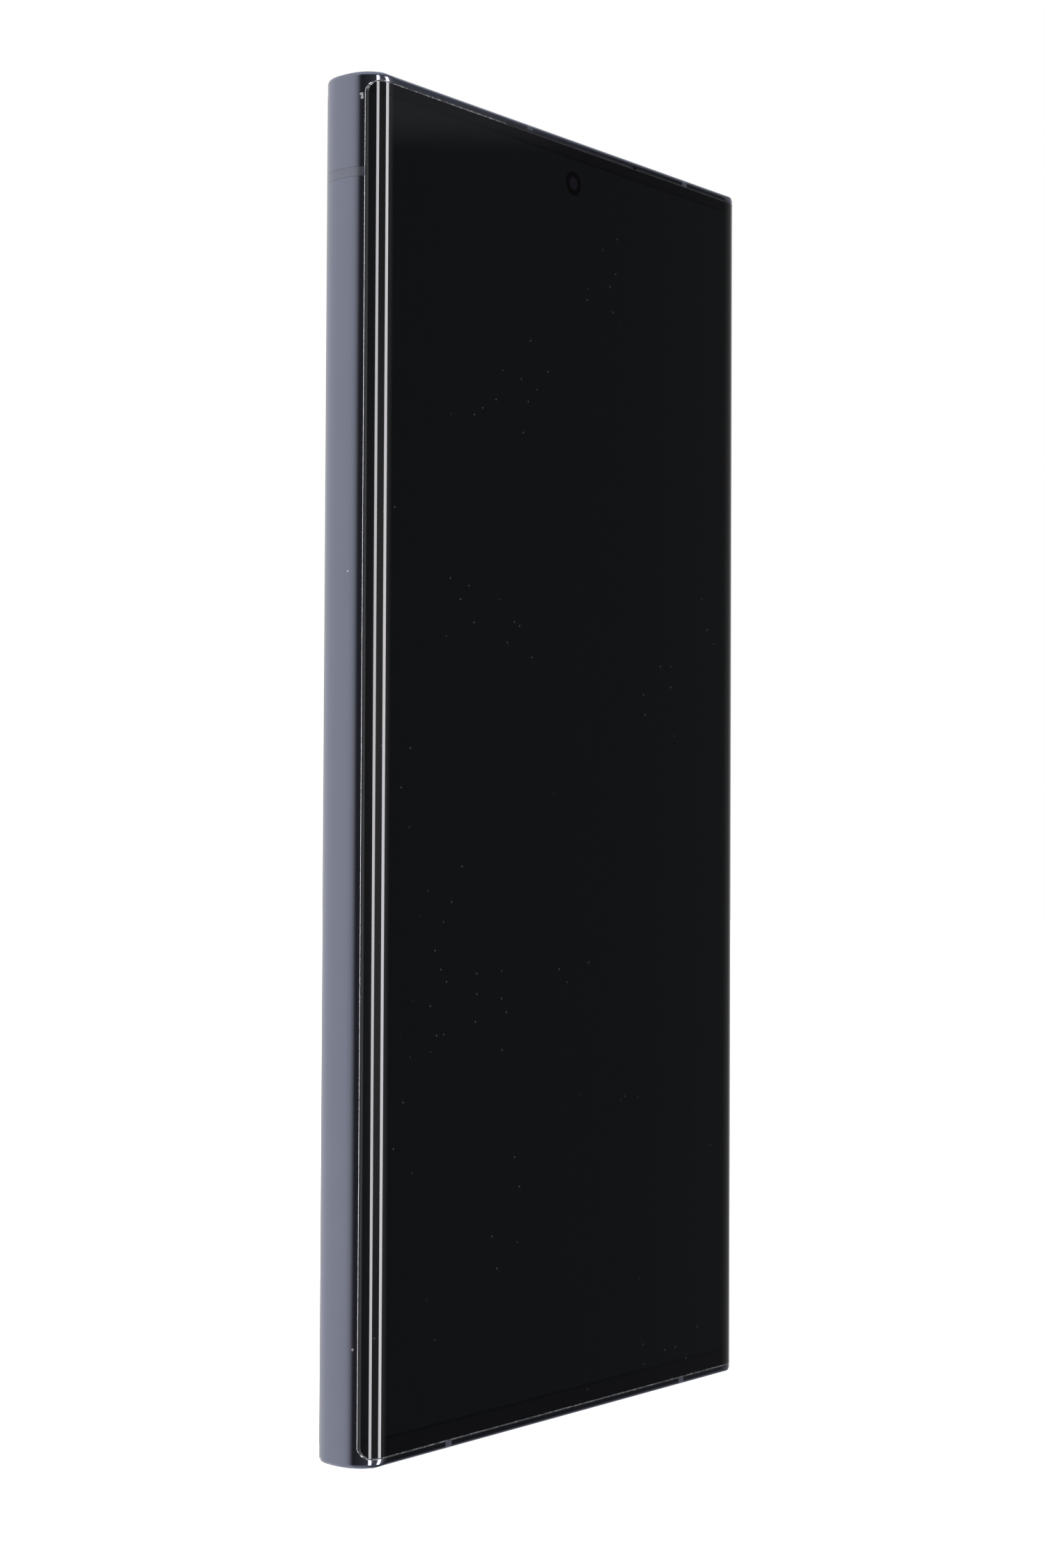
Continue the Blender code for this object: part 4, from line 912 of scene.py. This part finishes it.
def arc(centre_radius, centre_depth, radius, steps):
    """Profile points on a quarter round, from facing outward to facing the rear."""
    points = []
    for step in range(steps + 1):
        angle = math.radians(90) * step / steps
        points.append(
            (centre_radius + radius * math.cos(angle), centre_depth + radius * math.sin(angle))
        )
    return points


def build_cameras():
    for label in CAMERAS:
        ring_name = f"camera_ring_{label}"
        low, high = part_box(ring_name)
        centre = centre_of(ring_name) * Vector((1, 0, 1))
        outer = half_of(ring_name).x - RING_FLANGE
        inner = outer - 1.6 * MM
        throat = inner - 0.8 * MM
        crest = high.y
        seat = crest - 0.9 * MM
        flange_top = low.y + 0.55 * MM
        flange = outer + RING_FLANGE
        profile = [(flange, low.y), (flange, flange_top), (outer, flange_top)]
        profile += arc(outer - RING_EDGE, crest - RING_EDGE, RING_EDGE, 8)
        profile += [(inner + 0.35 * MM, crest), (inner + 0.22 * MM, crest - 0.03 * MM)]
        profile += [(inner, crest - 0.25 * MM), (inner, seat), (throat, seat), (throat, low.y)]
        finish_piece(lathe(f"{ring_name}_fine", profile, centre, 96), "ring", ring_name)
        build_disc(f"camera_window_{label}", "window", 0.08 * MM, 96)
        build_module(label, centre, throat)


def build_disc(name, finish, edge, segments=64, face=()):
    """A round window with a rounded rim, and a flat face or one of the given profile points."""
    low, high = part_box(name)
    centre = centre_of(name) * Vector((1, 0, 1))
    radius = half_of(name).x
    profile = [(AXIS, low.y), (radius, low.y)] + arc(radius - edge, high.y - edge, edge, 4)
    profile += list(face) or [(AXIS, high.y)]
    finish_piece(lathe(f"{name}_fine", profile, centre, segments, cyclic=False), finish, name)


def build_module(label, centre, throat):
    """The module's housing with an open stepped barrel, and the front lens inside it."""
    name = f"camera_module_{label}"
    low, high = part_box(name)
    box_top = at(0.0, 6.8 * MM, 0.0).y
    housing = box_cutter(f"{name}_fine", low, (high.x, box_top, high.z))
    outer = throat - 0.2 * MM
    aperture = outer * 0.52
    root = box_top - 0.4 * MM
    steps = 4
    depth = high.y - 0.12 * MM
    radius = outer - 0.45 * MM
    shrink = (radius - aperture) / steps
    profile = [(outer, root), (outer, high.y), (radius, high.y)]
    for _step in range(steps):
        profile += [(radius, depth), (radius - shrink, depth)]
        radius -= shrink
        depth -= 0.22 * MM
    profile.append((aperture, root))
    carve(housing, [lathe(f"{name}_barrel", profile, centre, 64)], "UNION")
    finish_piece(housing, "baffle", name)
    lens_radius = aperture - 0.02 * MM
    lens_profile = [(AXIS, box_top + 0.05 * MM), (lens_radius, box_top + 0.05 * MM)]
    dome = 8
    for step in range(dome + 1):
        angle = math.radians(90) * step / dome
        crown = box_top + 0.35 * MM + 0.55 * MM * math.sin(angle)
        lens_profile.append((max(lens_radius * math.cos(angle), AXIS), crown))
    lens = lathe(f"front_lens_{label}", lens_profile, centre, 64, cyclic=False)
    finish_piece(lens, "lens")


def build_flash_and_focus():
    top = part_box("flash_window")[1].y
    ribs = []
    rib = half_of("flash_window").x - 0.5 * MM
    while rib > 0.5 * MM:
        ribs += [(rib, top), (rib - 0.12 * MM, top - 0.09 * MM)]
        rib -= 0.36 * MM
    build_disc("flash_window", "diffuser", 0.1 * MM, face=ribs + [(AXIS, top - 0.02 * MM)])
    build_disc("autofocus_window", "lens_glass", 0.1 * MM)


# Keys, card tray, port.


def build_keys():
    for name in KEYS:
        centre = centre_of(name)
        half = half_of(name)
        flange_top = 0.4 * MM - half.x
        steps = 6
        crown = edged(0.0, half.x, 0.3 * MM, steps)[steps + 1 :]
        cap = prism(f"{name}_fine", 1.0 * MM, half.z - KEY_FLANGE, 0.98 * MM,
                    [(flange_top - 0.1 * MM, 0.0)] + crown, "X", centre, steps=10)
        flange = prism(f"{name}_flange", half.y, half.z, 0.3 * MM,
                       [(-half.x, 0.0), (flange_top, 0.0)], "X", centre)
        carve(cap, [flange], "UNION")
        finish_piece(cap, "frame_metal", name)


def build_tray():
    low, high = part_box("sim_tray")
    half = half_of("sim_tray")
    centre = centre_of("sim_tray") - Vector((0, 0, half.z))
    tray = prism("card_tray_fine", half.x, half.y, 1.19 * MM, edged(0.0, 1.0 * MM, 0.1 * MM), "Z",
                 centre, steps=10)
    neck = prism("tray_neck", 5.5 * MM, 0.7 * MM, 0.1 * MM, [(0.5 * MM, 0), (2.4 * MM, 0)], "Z",
                 centre)
    carrier = prism("tray_carrier", 5.2 * MM, 0.6 * MM, 0.1 * MM,
                    [(1.9 * MM, 0), (high.z - low.z, 0)], "Z", centre)
    carve(tray, [neck, carrier], "UNION")
    card = prism("card_room", 4.4 * MM, 6.2 * MM, 0.6 * MM, [(-2 * MM, 0), (2 * MM, 0)], "Y",
                 centre + Vector((0.0, 0.0, 9.8 * MM)))
    pin = mouth("eject", 0.4 * MM, 0.4 * MM, 0.4 * MM, "Z", centre + Vector((4.9 * MM, 0, 0)), -1,
                reach=0.6 * MM, flare=0.05 * MM)
    carve(tray, [card, pin])
    finish_piece(tray, "frame_metal", "sim_tray")


CONTACTS = 12
CONTACT_PITCH = 0.5 * MM


def build_port():
    half = half_of("usb_shell")
    centre = centre_of("usb_shell") - Vector((0, 0, half.z))
    length = 2 * half.z
    shell = prism("usb_shell_fine", half.x, half.y, half.y, edged(0.0, length, 0.05 * MM), "Z",
                  centre, 12)
    bore = prism("usb_bore", 4.17 * MM, 1.28 * MM, 1.28 * MM,
                 [(-0.6 * MM, -0.55 * MM), (0.12 * MM, 0.0), (length - 0.5 * MM, 0.0)], "Z", centre, 12)
    carve(shell, [bore])
    finish_piece(shell, "steel", "usb_shell")
    middle = centre_of("usb_tongue")
    half = half_of("usb_tongue")
    tongue = prism("usb_tongue_fine", half.x, half.y, 0.12 * MM, edged(-half.z, half.z, 0.1 * MM),
                   "Z", middle)
    finish_piece(tongue, "black_plastic", "usb_tongue")
    for index in range(CONTACTS):
        x = middle.x + (index - (CONTACTS - 1) / 2) * CONTACT_PITCH
        for label, side in (("front", -1), ("rear", 1)):
            place = (x, middle.y + side * 0.36 * MM, middle.z - half.z + 2.3 * MM)
            pad = prism(f"usb_contact_{index + 1}_{label}", 0.12 * MM, 1.9 * MM, 0.02 * MM,
                        [(-0.02 * MM, 0.0), (0.02 * MM, 0.01 * MM)], "Y", place, steps=2)
            finish_piece(pad, "gold")


def build_gauzes():
    """Fine metal mesh behind the loudspeaker's holes and in the earpiece's slit."""
    slit = HEIGHT - GLASS_END_INSET
    for name, low, high in (
        ("loudspeaker_gauze", at(-22.0 * MM, 3.5 * MM, 0.95 * MM), at(-9.5 * MM, 5.4 * MM, 1.05 * MM)),
        (
            "earpiece_gauze",
            at(-EARPIECE_HALF + 0.05 * MM, 0.55 * MM, slit - SEAM + 0.02 * MM),
            at(EARPIECE_HALF - 0.05 * MM, 0.65 * MM, slit + 0.18 * MM),
        ),
    ):
        finish_piece(box_cutter(name, low, high), "gauze")


# Stylus.


NIB_DOME = 0.9 * MM


def build_stylus():
    low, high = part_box("stylus_barrel")
    half = half_of("stylus_barrel")
    centre = centre_of("stylus_barrel") * Vector((1, 1, 0))
    shoulder = BODY_LOW.z + 94.0 * MM
    stations = [(low.z, 0.12 * MM), (low.z + 0.06 * MM, 0.03 * MM), (low.z + 0.12 * MM, 0.0),
                (shoulder - 1.0 * MM, 0.0), (shoulder, 0.03 * MM)]
    barrel_rings = [(z, half.x - inset, half.y - inset) for z, inset in stations]
    cone_steps = 10
    for step in range(1, cone_steps + 1):
        share = step / cone_steps
        shrink = 1.0 - 0.53 * share**1.35
        level = shoulder + (high.z - shoulder) * share
        barrel_rings.append((level, half.x * shrink, half.y * shrink))
    _z, tip_x, tip_y = barrel_rings[-1]
    barrel_rings.append((high.z, tip_x - 0.15 * MM, tip_y - 0.15 * MM))
    rings = []
    for z, size_x, size_y in barrel_rings:
        outline = rounded_outline(size_x, size_y, min(size_y, 1.9 * MM * size_y / half.y), 10)
        rings.append([centre + Vector((a, b, z)) for a, b in outline])
    barrel = shade(loft("stylus_barrel_fine", rings))
    button_centre = centre_of("stylus_button")
    button_half = half_of("stylus_button")
    pocket = mouth("button_pocket", button_half.x + MOUTH_GAP, button_half.z + MOUTH_GAP, 1.05 * MM,
                   "Y", (centre.x, centre.y + half.y, button_centre.z), 1, reach=0.75 * MM,
                   flare=0.06 * MM)
    nib_bore = prism("nib_bore", 0.5 * MM, 0.5 * MM, 0.5 * MM, [(-3 * MM, 0), (1 * MM, 0)], "Z",
                     (centre.x, centre.y, high.z))
    bore = prism("clicker_room", half.x - 0.2 * MM, half.y - 0.2 * MM, 1.7 * MM,
                 [(-1 * MM, 0), (5 * MM, 0)], "Z", (centre.x, centre.y, low.z))
    carve(barrel, [pocket, nib_bore, bore])
    finish_piece(barrel, "stylus_plastic", "stylus_barrel")
    build_clicker(centre, half)
    button = prism("stylus_button_fine", button_half.x, button_half.z, 1.05 * MM,
                   edged(-button_half.y, button_half.y, 0.1 * MM), "Y", button_centre, steps=10)
    finish_piece(button, "black_plastic", "stylus_button")
    nib_half = half_of("stylus_nib")
    dome_start = nib_half.z - NIB_DOME
    stations = [(-nib_half.z, 0.0), (dome_start, 0.0)]
    dome_steps = 6
    for step in range(1, dome_steps + 1):
        angle = math.radians(88) * step / dome_steps
        inset = nib_half.x * (1 - math.cos(angle))
        stations.append((dome_start + NIB_DOME * math.sin(angle), inset))
    nib = prism("stylus_nib_fine", nib_half.x, nib_half.x, nib_half.x, stations, "Z",
                centre_of("stylus_nib"))
    finish_piece(nib, "rubber", "stylus_nib")


def build_clicker(centre, half):
    low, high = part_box("stylus_clicker")
    place = (centre.x, centre.y, low.z)
    clicker = prism("stylus_clicker_fine", half.x, half.y, 1.9 * MM,
                    edged(0.0, 0.9 * MM, 0.12 * MM), "Z", place, steps=10)
    stem = prism("clicker_stem", half.x - 0.3 * MM, half.y - 0.3 * MM, 1.6 * MM,
                 [(0.45 * MM, 0), (high.z - low.z, 0)], "Z", place, steps=10)
    carve(clicker, [stem], "UNION")
    finish_piece(clicker, "stylus_plastic", "stylus_clicker")


# Studio: floor, light and camera.

CAMERA_YAW = 51.20
CAMERA_PITCH = -1.49
CAMERA_ROLL = 0.26
CAMERA_OFFSET = Vector((2.76, 329.31, 1.29)) * MM
FOCAL_PIXELS = 3663.4
IMAGE_HEIGHT = 2250
SENSOR = 36.0
FLOOR_DROP = 130.0 * MM  # clears the stylus when it is drawn right out


def build_camera():
    yaw = Matrix.Rotation(math.radians(CAMERA_YAW), 3, "Z")
    pitch = Matrix.Rotation(math.radians(CAMERA_PITCH), 3, "X")
    roll = Matrix.Rotation(math.radians(CAMERA_ROLL), 3, "Y")
    back = (roll @ pitch @ yaw).transposed()
    data = bpy.data.cameras.new("studio_camera")
    data.sensor_width = SENSOR
    data.lens = FOCAL_PIXELS * SENSOR / IMAGE_HEIGHT
    data.clip_start = 0.01
    camera = add_object("studio_camera", data)
    middle = at(0.0, MID_DEPTH, MID_HEIGHT)
    right = back @ Vector((1, 0, 0))
    forward = back @ Vector((0, 1, 0))
    up = back @ Vector((0, 0, 1))
    turn = Matrix((right, up, -forward)).transposed()
    camera.matrix_world = Matrix.Translation(middle - back @ CAMERA_OFFSET) @ turn.to_4x4()
    bpy.context.scene.camera = camera


def build_floor():
    bm = bmesh.new()
    bmesh.ops.create_grid(bm, x_segments=2, y_segments=2, size=6.0)
    floor = add_object("studio_floor", mesh_from(bm, "studio_floor"))
    floor.location.z = BODY_LOW.z - FLOOR_DROP
    material, nodes = new_material("pale_floor")
    tone = nodes.mix(nodes.noise(4.0), (0.6, 0.6, 0.6), (0.63, 0.63, 0.63))
    nodes.finish(Base_Color=tone, Roughness=0.8, Emission_Color=(1, 1, 1), Emission_Strength=0.8)
    floor.data.materials.append(material)
    floor.visible_glossy = False
    floor.visible_shadow = False


def add_area_light(name, centre, target, width, height, radiance, diffuse=1.0, colour=(1, 1, 1)):
    data = bpy.data.lights.new(name, "AREA")
    data.shape = "RECTANGLE"
    data.size = width
    data.size_y = height
    data.color = colour
    data.energy = radiance * math.pi * width * height
    data.diffuse_factor = diffuse
    light = add_object(name, data)
    light.location = centre
    light.rotation_euler = (Vector(target) - Vector(centre)).to_track_quat("-Z", "Y").to_euler()
    light.visible_camera = False
    light.visible_glossy = diffuse < 1.0


def bearing_line(bearing):
    """The level direction at a bearing in degrees: 0 is -X and 90 is out of the screen."""
    angle = math.radians(bearing)
    return Vector((-math.cos(angle), -math.sin(angle), 0.0))


STRIP_RADIANCE = 12.6
STRIP_COLOUR = (0.97, 0.95, 1.0)


def build_strips():
    """Two tall strip lights, whose images run down the curved edge of the glass."""
    for name, low, high, away, x in (
        ("near_strip", 79.2, 89.3, 0.14, -37.0 * MM),
        ("far_strip", 113.1, 121.5, 0.40, -35.8 * MM),
    ):
        middle = (low + high) / 2
        width = 2 * away * math.tan(math.radians(high - low) / 2)
        reach = MID_HEIGHT + away * math.tan(math.radians(26))
        target = at(x, 0.0, MID_HEIGHT)
        place = target + bearing_line(middle) * away
        add_area_light(name, place, target, width, 2 * reach, STRIP_RADIANCE, 0.02, STRIP_COLOUR)


# The surround's brightness at each bearing in degrees: 0 is -X and 90 is out of the screen.
SURROUND = [
    (-180, 0.42), (-168, 0.9), (-110, 0.95), (-80, 1.12), (-45, 1.01), (-20, 0.95), (-8, 0.82),
    (-2, 0.68), (4, 0.48), (9, 0.23), (14, 0.08), (20, 0.06), (45, 0.09), (70, 0.13), (80, 0.3),
    (93, 0.46), (106, 0.4), (118, 0.5), (124, 0.42), (131, 0.14), (135, 0.03), (144, 0.04),
    (151, 0.12), (158, 0.18), (168, 0.24), (180, 0.42),
]
FULL_TURN = 360


def elevation_zone(nodes, height, start, stop, amount):
    """Rises from 0 at one elevation to amount at another. height is the sine of the elevation."""
    low = math.sin(math.radians(start))
    high = math.sin(math.radians(stop))
    return nodes.remap(height, low, high, 0.0, amount, kind="SMOOTHSTEP")


def bearing_zone(nodes, turn, middle, whole, none, amount):
    """The amount within whole degrees of a bearing, which falls to 0 at none degrees."""
    away = nodes.absolute(turn, (middle + 180) / FULL_TURN)
    return nodes.remap(away, whole / FULL_TURN, none / FULL_TURN, amount, 0.0)


def build_world():
    """The surround, whose brightness in a reflection depends on direction. The camera sees white."""
    world = bpy.data.worlds.new("studio")
    world.use_nodes = True
    bpy.context.scene.world = world
    nodes = Nodes(world.node_tree, "Background")
    parts = nodes.axes(nodes.add("TexCoord").outputs["Generated"])
    height = parts["Z"]
    outward = nodes.maths("MULTIPLY", parts["Y"], -1.0)
    leftward = nodes.maths("MULTIPLY", parts["X"], -1.0)
    bearing = nodes.maths("ARCTAN2", outward, leftward)
    turn = nodes.remap(bearing, -math.pi, math.pi)
    ramp = nodes.add("ValToRGB", Fac=turn)
    elements = ramp.color_ramp.elements
    elements[0].position = 0.0
    elements[1].position = 1.0
    for degrees, _value in SURROUND[1:-1]:
        elements.new((degrees + 180) / FULL_TURN)
    for element, (_degrees, value) in zip(elements, SURROUND):
        element.color = (value, value, value, 1.0)
    low_front = nodes.maths("MULTIPLY", bearing_zone(nodes, turn, 30, 45, 55, 0.45),
                      elevation_zone(nodes, height, -21, -40, 1.0))
    high_front = nodes.maths("MULTIPLY", bearing_zone(nodes, turn, 150, 22, 30, 1.0),
                       elevation_zone(nodes, height, 15.3, 16.2, 0.17))
    tent = nodes.maths("MAXIMUM", low_front, high_front)
    for start, stop, amount in ((28, 56, 1.0), (-42, -75, 0.8)):
        tent = nodes.maths("MAXIMUM", tent, elevation_zone(nodes, height, start, stop, amount))
    ends = nodes.maths("MAXIMUM", elevation_zone(nodes, height, 6, 13, 1.0),
                 elevation_zone(nodes, height, -4, -11, 1.0))
    dim = nodes.maths("MULTIPLY", bearing_zone(nodes, turn, 98, 24, 30, 0.55), ends)
    level = nodes.mix(dim, ramp.outputs["Color"], (0.04, 0.04, 0.04))
    around = nodes.mix(tent, level, (0.93, 0.96, 1.0))
    to_camera = nodes.add("LightPath").outputs["Is Camera Ray"]
    seen = nodes.mix(to_camera, around, (1.0, 1.0, 1.0))
    nodes.finish(Color=seen, Strength=1.0)


def build_studio():
    build_floor()
    build_strips()
    build_world()
    add_area_light("top_soft_box", (0.1, 0.2, 1.2), (0, 0, 0.05), 1.4, 1.4, 1.6)
    add_area_light("back_soft_box", (-0.3, 1.2, 0.8), (0, 0, 0.08), 0.9, 0.9, 1.2)
    bpy.context.scene.view_settings.view_transform = "Standard"


build_camera()
dress_frame_nodes()
build_frame()
build_glasses()
build_beads()
build_cameras()
build_flash_and_focus()
build_keys()
build_tray()
build_port()
build_gauzes()
build_stylus()
build_studio()
